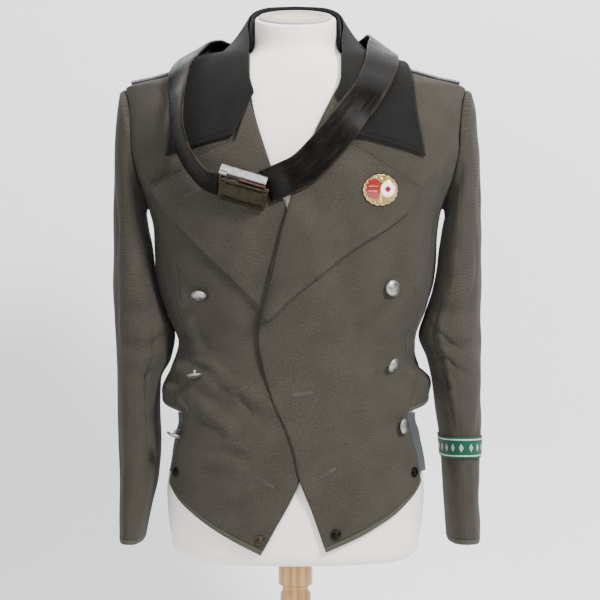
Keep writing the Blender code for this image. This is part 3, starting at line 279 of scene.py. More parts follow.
ARM_RADIUS = 0.055

BUTTON_RADIUS = 0.0105
# Each button: name, x, z, the way its face looks, shank, and how far it is pressed in
BUTTONS = (
    ("button_left_1", 0.1235, 0.5760, (0.52, -0.85, -0.05), 0.0030, 0.0004),
    ("button_left_2", 0.1195, 0.4740, (0.74, -0.53, -0.42), 0.0030, 0.0029),
    ("button_left_3", 0.1370, 0.3960, (0.83, -0.55, 0.0), 0.0032, 0.0004),
    ("button_right_1", -0.1210, 0.5690, (-0.16, -0.60, -0.78), 0.0030, 0.0009),
    ("button_right_2", -0.1220, 0.4640, (0.04, -0.22, -0.97), 0.0060, -0.0012),
    ("button_right_3", -0.1490, 0.3900, (-0.35, -0.10, -0.93), 0.0050, 0.0009),
)
# Each snap: name, side, x, z, radius
SNAPS = (
    ("snap_left_1", 1, 0.0520, 0.2590, 0.0070),
    ("snap_left_2", 1, 0.1540, 0.3350, 0.0065),
    ("snap_right_1", -1, -0.0450, 0.2515, 0.0065),
    ("snap_right_2", -1, -0.1545, 0.3350, 0.0060),
)
BRASS_SNAP = "snap_right_1"
# The lining strip: height from, height to, and how many degrees past the front it ends there
LINING_HEIGHTS = (0.334, 0.4128)
LINING_REACH = {1: (14.0, 8.0), -1: (4.5, 5.0)}
LINING_HIDDEN = 6.0
CAP_HEIGHT = 0.0026
CAP_RADIUS = 0.0500
CAP_DISC_RADIUS = 0.0325
BOARD_LENGTH = 0.086
BOARD_WIDTH = 0.045
BOARD_THICKNESS = 0.0050
BOARD_OUTER_X = 0.2240
SHOULDER_HEIGHT = 0.870
BADGE_X = 0.1080
BADGE_Z = 0.7000
BAND_TOP = 0.3800
BAND_BOTTOM = 0.3520
BAND_THICKNESS = 0.0010

# The belt: x, y, z, then the width's direction
BELT = (
    (-0.0970, -0.1530, 0.7065, 0.05, -0.81, 0.59),
    (-0.112, -0.150, 0.7120, 0.20, -0.86, 0.45),
    (-0.130, -0.142, 0.7330, 0.30, -0.90, 0.30),
    (-0.145, -0.134, 0.7620, 0.36, -0.90, 0.22),
    (-0.151, -0.127, 0.7950, 0.41, -0.89, 0.20),
    (-0.151, -0.101, 0.8380, 0.55, -0.80, 0.27),
    (-0.1435, -0.0675, 0.8600, 0.75, -0.60, 0.27),
    (-0.1227, -0.030, 0.8810, 0.875, -0.10, 0.49),
    (-0.110, 0.015, 0.8830, 0.85, 0.00, 0.52),
    (-0.098, 0.045, 0.8860, 0.65, -0.15, 0.70),
    (-0.081, 0.070, 0.8880, 0.50, -0.30, 0.80),
    (-0.046, 0.106, 0.8870, 0.18, -0.30, 0.93),
    (0.000, 0.114, 0.8850, 0.00, -0.35, 0.94),
    (0.046, 0.106, 0.8870, -0.18, -0.30, 0.93),
    (0.081, 0.070, 0.8890, -0.50, -0.25, 0.82),
    (0.105, 0.020, 0.8900, -0.75, 0.00, 0.66),
    (0.113, -0.022, 0.8880, -0.84, 0.10, 0.54),
    (0.112, -0.062, 0.8680, -0.90, 0.20, 0.40),
    (0.098, -0.098, 0.8340, -0.92, 0.15, 0.32),
    (0.072, -0.118, 0.7970, -0.88, 0.05, 0.46),
    (0.040, -0.131, 0.7560, -0.80, 0.05, 0.60),
    (0.004, -0.136, 0.7220, -0.50, 0.06, 0.86),
    (-0.038, -0.136, 0.7040, -0.15, 0.04, 0.98),
)
BELT_WIDTH = 0.044
BELT_THICKNESS = 0.0032
BELT_STEPS = 64
BELT_SETTLING = 12
BELT_CLEARANCE = 0.0014
# Each plate: centre, width direction, thickness direction, and its width, thickness and height
BUCKLE_FACE = (
    (-0.066, -0.1532, 0.6953), (1.0, 0.0, -0.28), (0.0, -0.60, -0.80), (0.060, 0.004, 0.036),
)
BUCKLE_PLATE = (
    (-0.0650, -0.1630, 0.7180), (1.0, 0.0, -0.30), (0.0, -0.70, 0.70), (0.059, 0.002, 0.0135),
)

# Buttonholes: name, where, one end and the other as x and z
BUTTONHOLES = (
    ("buttonhole_lapel", "right lapel", (-0.1424, 0.6928), (-0.1194, 0.7043)),
    ("buttonhole_over_1", 1, (-0.0032, 0.4369), (0.0224, 0.4407)),
    ("buttonhole_over_2", 1, (0.0314, 0.3330), (0.0519, 0.3445)),
    ("buttonhole_under", -1, (-0.0519, 0.3343), (-0.0276, 0.3202)),
)

# Lights: name, place, what they are aimed at, size, power
LIGHTS = (
    ("key", (1.35, -1.7, 2.1), (0.0, 0.0, 0.60), 0.5, 122.0),
    ("fill", (-1.2, -2.6, 1.0), (0.0, 0.0, 0.60), 1.4, 30.0),
    ("top", (0.0, -0.2, 2.5), (0.0, 0.0, 0.6), 1.6, 3.0),
    ("wall", (0.0, 0.25, 2.6), (0.0, 0.75, 0.6), 2.4, 78.0),
)
SKY = 0.42
CAMERA = (0.006, -2.4, 0.56)
CAMERA_ANGLE = 19.16

# Grids. Columns or rows that start closer together: share of the way, steps in it, steps in the rest
FRONT_COLUMNS = (0.045, 6, 84)
HEM_ROWS = (0.045, 7, 36)
SIDE_HEM_ROWS = (0.30, 6, 8)
LAPEL_COLUMNS = (0.05, 5, 64)
COLLAR_COLUMNS = (0.03, 6, 110)
BODY_ROWS = 130
SHOULDER_ROWS = 52
BACK_COLUMNS = 121
BACK_HEM_ROWS = 9
SIDE_COLUMNS = 31
SIDE_STRAIGHT_ROWS = 66
SIDE_CURVED_ROWS = 26
ARMHOLE_ROUNDS = 8
SETTLING_ROUNDS = 6
SLEEVE_COLUMNS = 120
# Rows of a sleeve: from which ring, to which, how many
SLEEVE_ROWS = ((14, 10, 60), (10, 5, 80), (5, 0, 56))
ARMHOLE_STEPS = 5
BAND_COLUMNS = 144
BAND_ROWS = 9
LAPEL_ROWS = 90
GORGE_ROWS = 26
COLLAR_EDGE = 0.10
COLLAR_EDGE_ROWS = 6
COLLAR_ROWS = 38
STAND_COLUMNS = 91
STAND_ROWS = 14
LINING_ROWS = 34
LINING_COLUMNS = 20
BOARD_STEPS = 40
BOARD_ROWS = 81
BELT_COLUMNS = 420
FORM_STEPS = 112

# How thick a wall is at its edges, and how far its inner face draws in there, as shares
EDGE_FULLNESS = 0.55
EDGE_DRAWN_IN = 0.6
HEM_SLOPE = 0.0010
BODY_RADIUS = 0.19
CREASE_ENDS = 0.02
CREASE_FADE = 0.6

# Unevenness: how many waves, their lengths, their height, what they add up to, and a seed for each piece
RIPPLE_COUNT = 7
RIPPLE_LENGTHS = (0.035, 0.090)
RIPPLE_HEIGHT = 0.0006
RIPPLE_SUM = 3
BODY_SEED = 5
SLEEVE_SEED = 11
LAPEL_SEED = 21
# Where the body is even, below the lapels and on the shoulders: from where, over what distance
LAPELS_ABOVE = (0.60, 0.05)
LAPELS_WITHIN = (0.12, 0.03)
SHOULDERS_ABOVE = (0.83, 0.04)

ARM_SEAM_DEPTH = 0.0009
ARM_SEAM_HALF_WIDTH = 0.0028
# The inner side of a sleeve: from how many degrees, over how many, and how much calmer it is
ARM_INSIDE = (138, 26)
ARM_INSIDE_CALM = 0.85
ARM_TOP_CALM = 0.02
BAND_LIFT = CLOTH + LAYER * 1.3
BAND_SAG = 0.0012

LAPEL_BOW_POWER = 0.8
LAPEL_FLAT_FROM = 0.12
LAPEL_FLATTENING = 0.8
LAPEL_GRAIN = 34
LAPEL_EDGE_CALM = 0.012
LAPEL_EDGE_SLOPE = 0.0012
# Where the front on top starts to cover the lapel below it: inside its edge, over what distance
OVER_COVERS = (0.018, 0.035)
COLLAR_HALF_LENGTH = 0.30
COLLAR_STITCH = 0.0065
STITCH_DEPTH = 0.0004
STITCH_HALF_WIDTH = 0.0022
NECK_AXIS_Y = 0.01

# Shoulder boards: the underlay's thickness, then the cords' count, margin, lift, wall and ridge
UNDERLAY_THICKNESS = 0.0012
CORD_COUNT = 8
CORD_MARGIN = 0.0030
CORD_LIFT = 0.0013
CORD_WALL = 0.0018
CORD_RIDGE = 0.0016

# Samples of the faces that the belt is settled on: how many each way, and their reach.
# A point that is farther than BESIDE_FACE along a face lies beside it, not over it.
COLLAR_SAMPLES = (161, 25)
CHEST_SAMPLES = (89, 33)
CHEST_TURN = 88
CHEST_HEIGHTS = (0.70, 0.86)
LAPEL_SAMPLES = (41, 31)
LAPEL_SAMPLED_FROM = 0.3
BOARD_SAMPLES = (8, 4)
BESIDE_FACE = 0.004
BELT_TESTED = 5
BELT_CUP = 0.0006
# Places across the belt, closer at its edges: share from, share to, how many
BELT_ROWS = ((-0.5, -0.42, 4), (-0.38, 0.38, 11), (0.42, 0.5, 4))

# Plates on the buckle: name, share of its half width, height and thickness, then width, thickness, height
FACE_PARTS = (
    ("rim", 0, -0.94, 1.25, 0.060, 0.0016, 0.0026),
    ("rim", 0, 0.94, 1.25, 0.060, 0.0016, 0.0026),
    ("rim", -0.96, 0, 1.25, 0.0026, 0.0016, 0.036),
    ("rim", 0.96, 0, 1.25, 0.0026, 0.0016, 0.036),
    ("panel", 0, 0, 1.1, 0.048, 0.0012, 0.02232),
)
EAR = ("ear", -0.86, 1.15, 0, 0.0085, 0.0020, 0.0050)
LOOPS = (
    ("loop", 0.35, 1.45, -1.2, 0.024, 0.0022, 0.0030),
    ("loop", 0.62, 1.45, -1.2, 0.024, 0.0022, 0.0024),
)

# Buttons: the shank's radius, the rim's and the dome's heights, and where the dome begins
SHANK_RADIUS = 0.0018
BUTTON_RIM = 0.0009
DOME_HEIGHT = 0.0033
DOME_SHARE = 0.93
# Each ring of a snap: share of its radius, height
SNAP_PROFILE = (
    (0.92, 0.0), (1.0, 0.0006), (0.97, 0.0013), (0.80, 0.0017), (0.70, 0.0013), (0.58, 0.0014),
    (0.50, 0.0022), (0.30, 0.0029), (0.10, 0.0031),
)
HOLE_HALF_WIDTH = 0.0012
HOLE_THREAD_WIDTH = 0.0007
HOLE_THREAD_HEIGHT = 0.0005
HOLE_STEPS = 30

# The badge: half width and half height of its rim, bumps round it, and the beads on it
RIM_SIZE = (0.0222, 0.0192)
RIM_BUMPS = 9
RIM_BUMP = 0.045
BEADS_AT = (0.0203, 0.0174)
BEAD_PROFILE = ((0.0012, 0.0), (0.0013, 0.0012), (0.0009, 0.0019), (0.0003, 0.0022))

# The form: where its bottom rounding, its straight levels and its neck begin
FORM_ROUNDING = 0.020
FORM_NECK = 0.912
# The slanting top: share of the way up the neck, share of the full size
FORM_TOP_ROWS = ((0.5, 1.0), (0.9, 1.0), (0.98, 0.99), (1.0, 0.965))
CAP_FORWARD = 0.0045

# The sweep behind: how far in front it begins, where it turns up, its radius, its top and half width
SWEEP_FRONT = -3.0
SWEEP_TURN = 0.35
SWEEP_TOP = 3.2
SWEEP_HALF_WIDTH = 4.0


def curve(table, key):
    """A table's other columns at a key of its first, on smooth curves that never overshoot a row."""
    rows = np.asarray(table, float)
    keys, values = rows[:, 0], rows[:, 1:]
    key = np.clip(np.asarray(key, float), keys[0], keys[-1])
    widths = np.diff(keys)[:, None]
    slopes = np.diff(values, axis=0) / widths
    before, after = slopes[:-1], slopes[1:]
    same_way = before * after > 0
    total = np.where(same_way, before + after, 1.0)
    inner = np.where(same_way, 2 * before * after / total, 0.0)
    tangents = np.vstack([slopes[:1], inner, slopes[-1:]])
    row = np.clip(np.searchsorted(keys, key, side="right") - 1, 0, len(keys) - 2)
    width = widths[row]
    t = (key - keys[row])[..., None] / width
    from_start = (1 + 2 * t) * (1 - t) ** 2 * values[row] + t * (1 - t) ** 2 * width * tangents[row]
    to_end = t**2 * (3 - 2 * t) * values[row + 1] + t**2 * (t - 1) * width * tangents[row + 1]
    return from_start + to_end


def value(table, key):
    return curve(table, key)[..., 0]


def ease(t):
    """0 below 0, 1 above 1, and a smooth step between."""
    t = np.clip(t, 0.0, 1.0)
    return t * t * (3 - 2 * t)


def section(height):
    return np.moveaxis(curve(BODY, height), -1, 0)


def level(points):
    """1 on the body surface, less inside it and more outside."""
    x, y, z = np.moveaxis(points, -1, 0)
    half, front, back, power = section(z)
    depth = np.where(y < 0, front, back)
    return (np.abs(x / half) ** power + np.abs(y / depth) ** power) ** (1 / power)


def off_body(points, step=1e-4):
    """Each point's straight-out direction, and how far off the body surface it is."""
    slope = np.stack(
        [(level(points + step * axis) - level(points - step * axis)) / (2 * step) for axis in np.eye(3)],
        axis=-1,
    )
    size = np.linalg.norm(slope, axis=-1)
    return slope / size[..., None], (level(points) - 1) / size


def settle(points, clearance):
    """Points moved straight out where they are nearer the body than the clearance."""
    for _ in range(SETTLING_ROUNDS):
        direction, gap = off_body(points)
        points = points + direction * np.maximum(clearance - gap, 0.0)[..., None]
    return points


def lay(points, height):
    """Points moved in or out until they are exactly this far off the body."""
    for _ in range(SETTLING_ROUNDS):
        direction, gap = off_body(points)
        points = points + direction * (height - gap)[..., None]
    return points


def to_line(u, v, line):
    """How far points are from a line of points, and how far along it they are nearest, as a share."""
    line = np.asarray(line, float)
    lengths = np.hypot(*np.diff(line, axis=0).T)
    passed = np.concatenate([[0.0], np.cumsum(lengths)])
    nearest = np.full(u.shape, np.inf)
    share = np.zeros(u.shape)
    for (u0, v0), (u1, v1), length, before in zip(line, line[1:], lengths, passed):
        along = np.clip(((u - u0) * (u1 - u0) + (v - v0) * (v1 - v0)) / length**2, 0, 1)
        distance = np.hypot(u - u0 - along * (u1 - u0), v - v0 - along * (v1 - v0))
        closer = distance < nearest
        nearest = np.where(closer, distance, nearest)
        share = np.where(closer, (before + along * length) / passed[-1], share)
    return nearest, share


def creased(u, v, creases):
    """The height that soft ridges and troughs give the cloth at these flat places."""
    total = np.zeros(u.shape)
    for height, half_width, line in creases:
        distance, share = to_line(u, v, line)
        fade = np.sin(np.pi * np.clip(share, CREASE_ENDS, 1 - CREASE_ENDS)) ** CREASE_FADE
        total += height * fade * hump(distance, half_width)
    return total


def ripples(u, v, seed):
    """Slow, shallow unevenness, as worn cloth has."""
    chance = np.random.default_rng(seed)
    total = np.zeros(u.shape)
    for _ in range(RIPPLE_COUNT):
        turn = chance.uniform(0, np.pi)
        length = chance.uniform(*RIPPLE_LENGTHS)
        start = chance.uniform(0, 2 * np.pi)
        total += np.sin((u * np.cos(turn) + v * np.sin(turn)) * 2 * np.pi / length + start)
    return total * RIPPLE_HEIGHT / RIPPLE_SUM


def fold_height(points):
    """How far the cloth's large folds raise it at these points."""
    x, y, z = np.moveaxis(points, -1, 0)
    total = np.zeros_like(x)
    for side, x_from, z_from, x_to, z_to, half_width, height in FOLDS:
        distance, _ = to_line(x, z, ((x_from, z_from), (x_to, z_to)))
        rise = height * hump(distance, half_width)
        total = np.maximum(total, np.where(y * side > 0, rise, 0))
    return total


def ring(turn, height):
    """Points of the body surface at a turn from the middle of the front, in radians, and a height."""
    half, front, back, power = section(height)
    sine, cosine = np.sin(turn), np.cos(turn)
    x = half * np.sign(sine) * np.abs(sine) ** (2 / power)
    depth = np.where(cosine > 0, front, back)
    y = -depth * np.sign(cosine) * np.abs(cosine) ** (2 / power)
    return np.stack([x, y, height + 0 * x], axis=-1)


def turn_at(x, height):
    """The turn at which the front of the body reaches this x."""
    half, _, _, power = section(height)
    return np.arcsin(np.sign(x) * np.clip(np.abs(x) / half, 0, 1) ** (power / 2))


def cloth_points(turn, height, out):
    """Points of a cloth layer that is this far off the body, with its folds, creases and unevenness."""
    base = ring(turn, height)
    direction, _ = off_body(base)
    x, y, z = np.moveaxis(base, -1, 0)
    fine = np.where(y < 0, creased(x, z, FRONT_CREASES), creased(x, z, BACK_CREASES))
    below = ease((LAPELS_ABOVE[0] - z) / LAPELS_ABOVE[1])
    beside = ease((np.abs(x) - LAPELS_WITHIN[0]) / LAPELS_WITHIN[1])
    off_shoulders = ease((SHOULDERS_ABOVE[0] - z) / SHOULDERS_ABOVE[1])
    off_lapels = np.clip(np.where(y < 0, below + beside, 1.0), 0, 1)
    uneven = ripples(x, z, BODY_SEED) * off_lapels * off_shoulders
    return base + direction * (out + fold_height(base) + fine + uneven)[..., None]


def over_lift(x, height):
    """How far the front on top stands off the body, over what lies under it."""
    beyond = ease((x - value(UNDER_REACH, height)) / LIFT_SLOPE)
    return value(OVER_LIFT, height) * (1 - beyond)


def armhole_turn(height, side_of_body):
    """The turn at which a level meets the armhole, in front (1) or behind (-1)."""
    rise = np.clip((height - ARMHOLE_MIDDLE) / ARMHOLE_HALF_HEIGHT, -1, 1)
    reach = ARMHOLE_HALF_DEPTH * np.sqrt(1 - rise**2)
    _, front, back, power = section(height)
    depth = front if side_of_body > 0 else back
    from_front = np.arccos(np.clip(reach / depth, 0, 1) ** (power / 2))
    return from_front if side_of_body > 0 else np.pi - from_front


def panel_limit(height, side_of_body):
    """The turn at which a front or the back ends: its side seam, the armhole, or the shoulder seam."""
    seam = np.radians(value(SIDE_SEAM if side_of_body > 0 else BACK_SEAM, height))
    turn = np.where(height < SEAM_MEETS_ARMHOLE, seam, armhole_turn(height, side_of_body))
    turn = np.where(height > ARMHOLE_MIDDLE + ARMHOLE_HALF_HEIGHT, np.pi / 2, turn)
    return turn - side_of_body * SEAM / section(height)[0]


def unit(vectors):
    """Directions of length 1."""
    return vectors / np.linalg.norm(vectors, axis=-1)[..., None]


def outward(grid, closed=False):
    """The way straight out at each point of a grid whose rows run upwards and columns to the right."""
    if closed:
        round_way = np.roll(grid, -1, axis=1) - np.roll(grid, 1, axis=1)
    else:
        round_way = np.gradient(grid, axis=1)
    return unit(np.cross(round_way, np.gradient(grid, axis=0)))


def hump(distance, half_width):
    """1 on a line, 0 beyond this half width, and a soft slope between."""
    return np.cos(np.pi / 2 * np.minimum(distance / half_width, 1)) ** 2


def linked(name, data):
    """A new object of the scene that holds this mesh, lamp or lens."""
    made = bpy.data.objects.new(name, data)
    bpy.context.scene.collection.objects.link(made)
    return made


def finished(name, builder, look, smooth_under):
    """The object that a bmesh makes, smooth but at edges sharper than this many degrees."""
    mesh = bpy.data.meshes.new(name)
    builder.to_mesh(mesh)
    builder.free()
    mesh.materials.append(look)
    mesh.shade_smooth()
    mesh.set_sharp_from_angle(angle=math.radians(smooth_under))
    return linked(name, mesh)


def for_side(side, *grids):
    """Grids made for the +X side, with their columns turned round for the other."""
    return grids if side > 0 else tuple(grid[:, ::-1] for grid in grids)


def corners(*places):
    """Faces from the row, column and layer of each of their corners."""
    return np.stack([np.stack(np.broadcast_arrays(*place)) for place in places])


def shell(name, grid, thickness, look, uv, edge=None, closed=False):
    """A wall with rounded edges on a grid that is its inner face.

    Rows run upwards and columns to the right, seen from outside. uv gives flat places in metres,
    edge how far each point is from a stitched edge. Layer 0 is the inner face, layer 1 the outer.
    """
    rows, columns = grid.shape[:2]
    out = outward(grid, closed)
    full = np.ones((rows, columns))
    if not closed:
        full[:, [0, -1]] = EDGE_FULLNESS
    full[[0, -1], :] = EDGE_FULLNESS
    outer = grid + out * (thickness * full)[..., None]
    inner = grid + out * (thickness * (1 - full) * EDGE_DRAWN_IN)[..., None]
    across = columns if closed else columns - 1
    i, j = (a.ravel() for a in np.meshgrid(np.arange(rows - 1), np.arange(across), indexing="ij"))
    k, last = np.arange(across), rows - 1
    faces = [
        corners((i, j, 1), (i, j + 1, 1), (i + 1, j + 1, 1), (i + 1, j, 1)),
        corners((i, j, 0), (i + 1, j, 0), (i + 1, j + 1, 0), (i, j + 1, 0)),
        corners((0, k + 1, 1), (0, k, 1), (0, k, 0), (0, k + 1, 0)),
        corners((last, k, 1), (last, k + 1, 1), (last, k + 1, 0), (last, k, 0)),
    ]
    if not closed:
        k, last = np.arange(rows - 1), columns - 1
        faces.append(corners((k, 0, 1), (k + 1, 0, 1), (k + 1, 0, 0), (k, 0, 0)))
        faces.append(corners((k + 1, last, 1), (k, last, 1), (k, last, 0), (k + 1, last, 0)))
    row, column, layer = np.concatenate(faces, axis=2).transpose(1, 2, 0)
    vertex = layer * rows * columns + row * columns + column % columns
    places = np.concatenate([inner.reshape(-1, 3), outer.reshape(-1, 3)])
    mesh = bpy.data.meshes.new(name)
    mesh.from_pydata(places.tolist(), [], vertex.tolist())
    flat = mesh.uv_layers.new(name="flat")
    flat.data.foreach_set("uv", uv[row, column].astype(np.float32).ravel())
    if edge is not None:
        held = mesh.attributes.new("edge", "FLOAT", "POINT")
        held.data.foreach_set("value", np.tile(edge.ravel(), 2).astype(np.float32))
    mesh.materials.append(look)
    mesh.shade_smooth()
    return linked(name, mesh)


def stands_for(piece, slot, *nodes):
    """Lets a piece ride on the part, in place of its nodes if it has any."""
    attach(piece, "root")
    if nodes:
        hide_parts(*nodes)


def lengths(grid, axis):
    """How far along its row or column each point of a grid is, in metres."""
    step = np.linalg.norm(np.diff(grid, axis=axis), axis=-1)
    start = np.zeros_like(np.take(step, [0], axis=axis))
    return np.cumsum(np.concatenate([start, step], axis=axis), axis=axis)


def dense_start(first, near, steps):
    """Shares from 0 to 1, with a finer start for a hem or an edge."""
    return np.concatenate([np.linspace(0, first, near), np.linspace(first, 1, steps)[1:]])


def panel_heights(hem, shares):
    """Rows from the hem to the waist at these shares, then up to the neck, closer on the shoulder."""
    low = hem + shares[:-1, None] * (HEM_TO_WAIST - hem)
    rows = np.concatenate([
        np.linspace(HEM_TO_WAIST, SHOULDER_STARTS, BODY_ROWS, endpoint=False),
        np.linspace(SHOULDER_STARTS, NECK_LEVEL, SHOULDER_ROWS),
    ])
    return np.vstack([low, np.repeat(rows[:, None], len(hem), axis=1)])


def body_flat(turn, heights):
    """Flat places for the weave: metres round the body and up it."""
    return np.stack([turn * BODY_RADIUS, heights], axis=-1)


def front(name, side, edge_table, look):
    """One front, from its slanting edge to the side seam. side is 1 on the wearer's left."""
    share = dense_start(*FRONT_COLUMNS)
    heights = panel_heights(edge_table[0][0] + value(FRONT_HEM, share), dense_start(*HEM_ROWS))
    edge_turn = turn_at(value(edge_table, heights), heights)
    limit = panel_limit(heights, 1)
    turn = side * (edge_turn + share[None, :] * (limit - edge_turn))
    out = over_lift(ring(turn, heights)[..., 0], heights) if side > 0 else np.zeros_like(turn)
    points = cloth_points(turn, heights, out)
    from_edge = lengths(points, 0)
    direction, _ = off_body(points)
    points = points + direction * (HEM_RISE * (1 - ease((from_edge - HEM_BAND) / HEM_SLOPE)))[..., None]
    points, flat, from_edge = for_side(side, points, body_flat(turn, heights), from_edge)
    return shell(name, points, CLOTH, look, flat, from_edge)


def back(name, look):
    """The back, in one piece from side seam to side seam."""
    share = np.linspace(0, 1, BACK_COLUMNS)
    heights = panel_heights(np.full(len(share), BACK_HEM_HEIGHT), np.linspace(0, 1, BACK_HEM_ROWS))
    limit = panel_limit(heights, -1)
    turn = limit + share[None, :] * (2 * np.pi - 2 * limit)
    points = cloth_points(turn, heights, np.zeros_like(turn))
    return shell(name, points, CLOTH, look, body_flat(turn, heights), lengths(points, 0))


def side_panel(name, side, look):
    """The piece between a front and the back, from the raised hem to the armhole."""
    share = np.linspace(0, 1, SIDE_COLUMNS)
    hem = value(SIDE_HEM, share)
    top = np.full(len(share), SEAM_MEETS_ARMHOLE)
    for _ in range(ARMHOLE_ROUNDS):
        in_front = np.radians(value(SIDE_SEAM, top))
        behind = np.radians(value(BACK_SEAM, top))
        y = ring(in_front + share * (behind - in_front), top)[..., 1]
        drop = np.sqrt(1 - np.clip(y / ARMHOLE_HALF_DEPTH, -1, 1) ** 2)
        top = ARMHOLE_MIDDLE - ARMHOLE_HALF_HEIGHT * drop
    low = hem + dense_start(*SIDE_HEM_ROWS)[:-1, None] * (HEM_TO_WAIST - hem)
    straight = np.linspace(HEM_TO_WAIST, SIDE_ROWS_STRAIGHT_TO, SIDE_STRAIGHT_ROWS)
    rise = np.linspace(0, 1, SIDE_CURVED_ROWS)[1:, None]
    curved = SIDE_ROWS_STRAIGHT_TO + rise * (top - SIDE_ROWS_STRAIGHT_TO)
    heights = np.vstack([low, np.repeat(straight[:, None], len(share), axis=1), curved])
    half = section(heights)[0]
    in_front = np.radians(value(SIDE_SEAM, heights)) + SEAM / half
    behind = np.radians(value(BACK_SEAM, heights)) - SEAM / half
    turn = side * (in_front + share[None, :] * (behind - in_front))
    points = cloth_points(turn, heights, np.zeros_like(turn))
    points, flat, from_edge = for_side(side, points, body_flat(turn, heights), lengths(points, 0))
    return shell(name, points, CLOTH, look, flat, from_edge)


def squared(angle, squareness):
    """Cosine and sine of a squared oval."""
    cosine, sine = np.cos(angle), np.sin(angle)
    power = 2 / squareness
    return np.sign(cosine) * np.abs(cosine) ** power, np.sign(sine) * np.abs(sine) ** power


def sleeve_points(row, angle, side):
    """Points inside the sleeve's wall. Angle 0 is outermost, 90 degrees in front; row may be a fraction."""
    keyed = [(index, *entry) for index, entry in enumerate(SLEEVE)]
    outer_left, outer_right, outer_z, inner_left, inner_right, inner_z, front_y, back_y = np.moveaxis(
        curve(keyed, row), -1, 0
    )
    outer_x = outer_left if side > 0 else outer_right
    inner_x = inner_left if side > 0 else inner_right
    cosine, sine = squared(angle, SLEEVE_SQUARENESS)
    x = (outer_x + inner_x) / 2 + (outer_x - inner_x) / 2 * cosine
    z = (outer_z + inner_z) / 2 + (outer_z - inner_z) / 2 * cosine
    y = np.where(sine > 0, front_y * sine, -back_y * sine)
    wrinkle = np.zeros_like(z)
    for height, half_height, depth in ELBOW_WRINKLES:
        wrinkle += depth * hump(np.abs(z - height), half_height)
    y += wrinkle * np.maximum(sine, 0)
    return np.stack([side * x, y, z], axis=-1)


def armhole_points(angle, side):
    """The first ring of a sleeve, just outside the armhole's edge."""
    y = -ARMHOLE_HALF_DEPTH * np.sin(angle)
    z = ARMHOLE_MIDDLE + ARMHOLE_HALF_HEIGHT * np.cos(angle)
    half, front_depth, back_depth, power = section(z)
    depth = np.where(y < 0, front_depth, back_depth)
    x = half * (1 - np.abs(y / depth) ** power) ** (1 / power)
    return lay(np.stack([side * x, y, z], axis=-1), np.full(angle.shape, CLOTH + SLEEVE_GAP))


def sleeve(name, side, look):
    """A sleeve all round, with its two seams as narrow grooves, open at the cuff and the armhole."""
    angles = np.radians(np.linspace(180, -180, SLEEVE_COLUMNS, endpoint=False))
    rows = np.concatenate([
        np.linspace(low, high, count, endpoint=high == 0) for low, high, count in SLEEVE_ROWS
    ])
    below = sleeve_points(rows[:, None] + 0 * angles[None, :], angles[None, :] + 0 * rows[:, None], side)
    top = armhole_points(angles, side)
    to_top = np.linspace(0, 1, ARMHOLE_STEPS)[1:-1, None, None]
    points = np.concatenate([below, below[-1] + to_top * (top - below[-1]), top[None]])
    if side < 0:
        points, angles = points[:, ::-1], angles[::-1]
    degrees = np.degrees(angles)[None, :] + np.zeros(points.shape[:2])
    u, v = np.radians(degrees) * ARM_RADIUS, points[..., 2]
    creases = [
        (height, half_width, [(math.radians(turn) * ARM_RADIUS, z) for turn, z in line])
        for height, half_width, line in SLEEVE_CREASES[side]
    ]
    rise = creased(u, v, creases) + ripples(u, v, SLEEVE_SEED + side)
    for seam in (FRONT_ARM_SEAM, BACK_ARM_SEAM):
        away = np.abs(degrees - seam) * math.radians(1) * ARM_RADIUS
        rise -= ARM_SEAM_DEPTH * hump(away, ARM_SEAM_HALF_WIDTH)
    from_cuff = lengths(points, 0)
    inner_side = ease((np.abs(degrees) - ARM_INSIDE[0]) / ARM_INSIDE[1])
    calm = (1 - ARM_INSIDE_CALM * inner_side) * ease((from_cuff[-1:] - from_cuff) / ARM_TOP_CALM)
    points = points + outward(points, closed=True) * (rise * calm)[..., None]
    ends = np.append(angles, angles[0] + (-2 * np.pi if side > 0 else 2 * np.pi))
    flat = np.stack(np.broadcast_arrays(ends[None, :] * ARM_RADIUS, points[:, :1, 2]), axis=-1)
    return shell(name, points, CLOTH, look, flat, from_cuff, closed=True)


def cuff_band(look):
    """The narrow ribbon sewn round the wearer's left sleeve."""
    angles = np.radians(np.linspace(180, -180, BAND_COLUMNS, endpoint=False))
    order = [entry[2] for entry in SLEEVE[::-1]]
    heights = np.linspace(BAND_BOTTOM, BAND_TOP, BAND_ROWS)
    rows = []
    for height in heights:
        index = np.interp(height, order, np.arange(len(SLEEVE))[::-1])
        points = sleeve_points(np.full(angles.shape, index), angles, 1)
        along = np.roll(points, -1, axis=0) - np.roll(points, 1, axis=0)
        away = unit(np.stack([along[:, 1], -along[:, 0], 0 * along[:, 0]], axis=1))
        lifted = points + away * BAND_LIFT
        lifted[:, 2] -= BAND_SAG * np.cos(angles) ** 2
        rows.append(lifted)
    ends = np.append(angles, -np.pi) * ARM_RADIUS
    flat = np.stack(np.broadcast_arrays(ends[None, :], (heights - BAND_BOTTOM)[:, None]), axis=-1)
    return shell("cuff_ribbon", np.array(rows), BAND_THICKNESS, look, flat, closed=True)


def uncovered(x, z):
    """1 where the front on top leaves what is below it in sight, and 0 well behind its edge."""
    return ease((value(OVER_EDGE, z) - OVER_COVERS[0] - x) / OVER_COVERS[1])


def lapel_extra(side, x, z, x_share):
    """How far a lapel's inner face lies off the body: over its front, with a bow that fades under cover."""
    bow = LAPEL_BOW * np.sin(np.pi * np.clip(x_share, 0, 1)) ** LAPEL_BOW_POWER
    below = CLOTH + LAYER
    if side > 0:
        return below + over_lift(x, z) + bow
    return below + bow * uncovered(x, z)


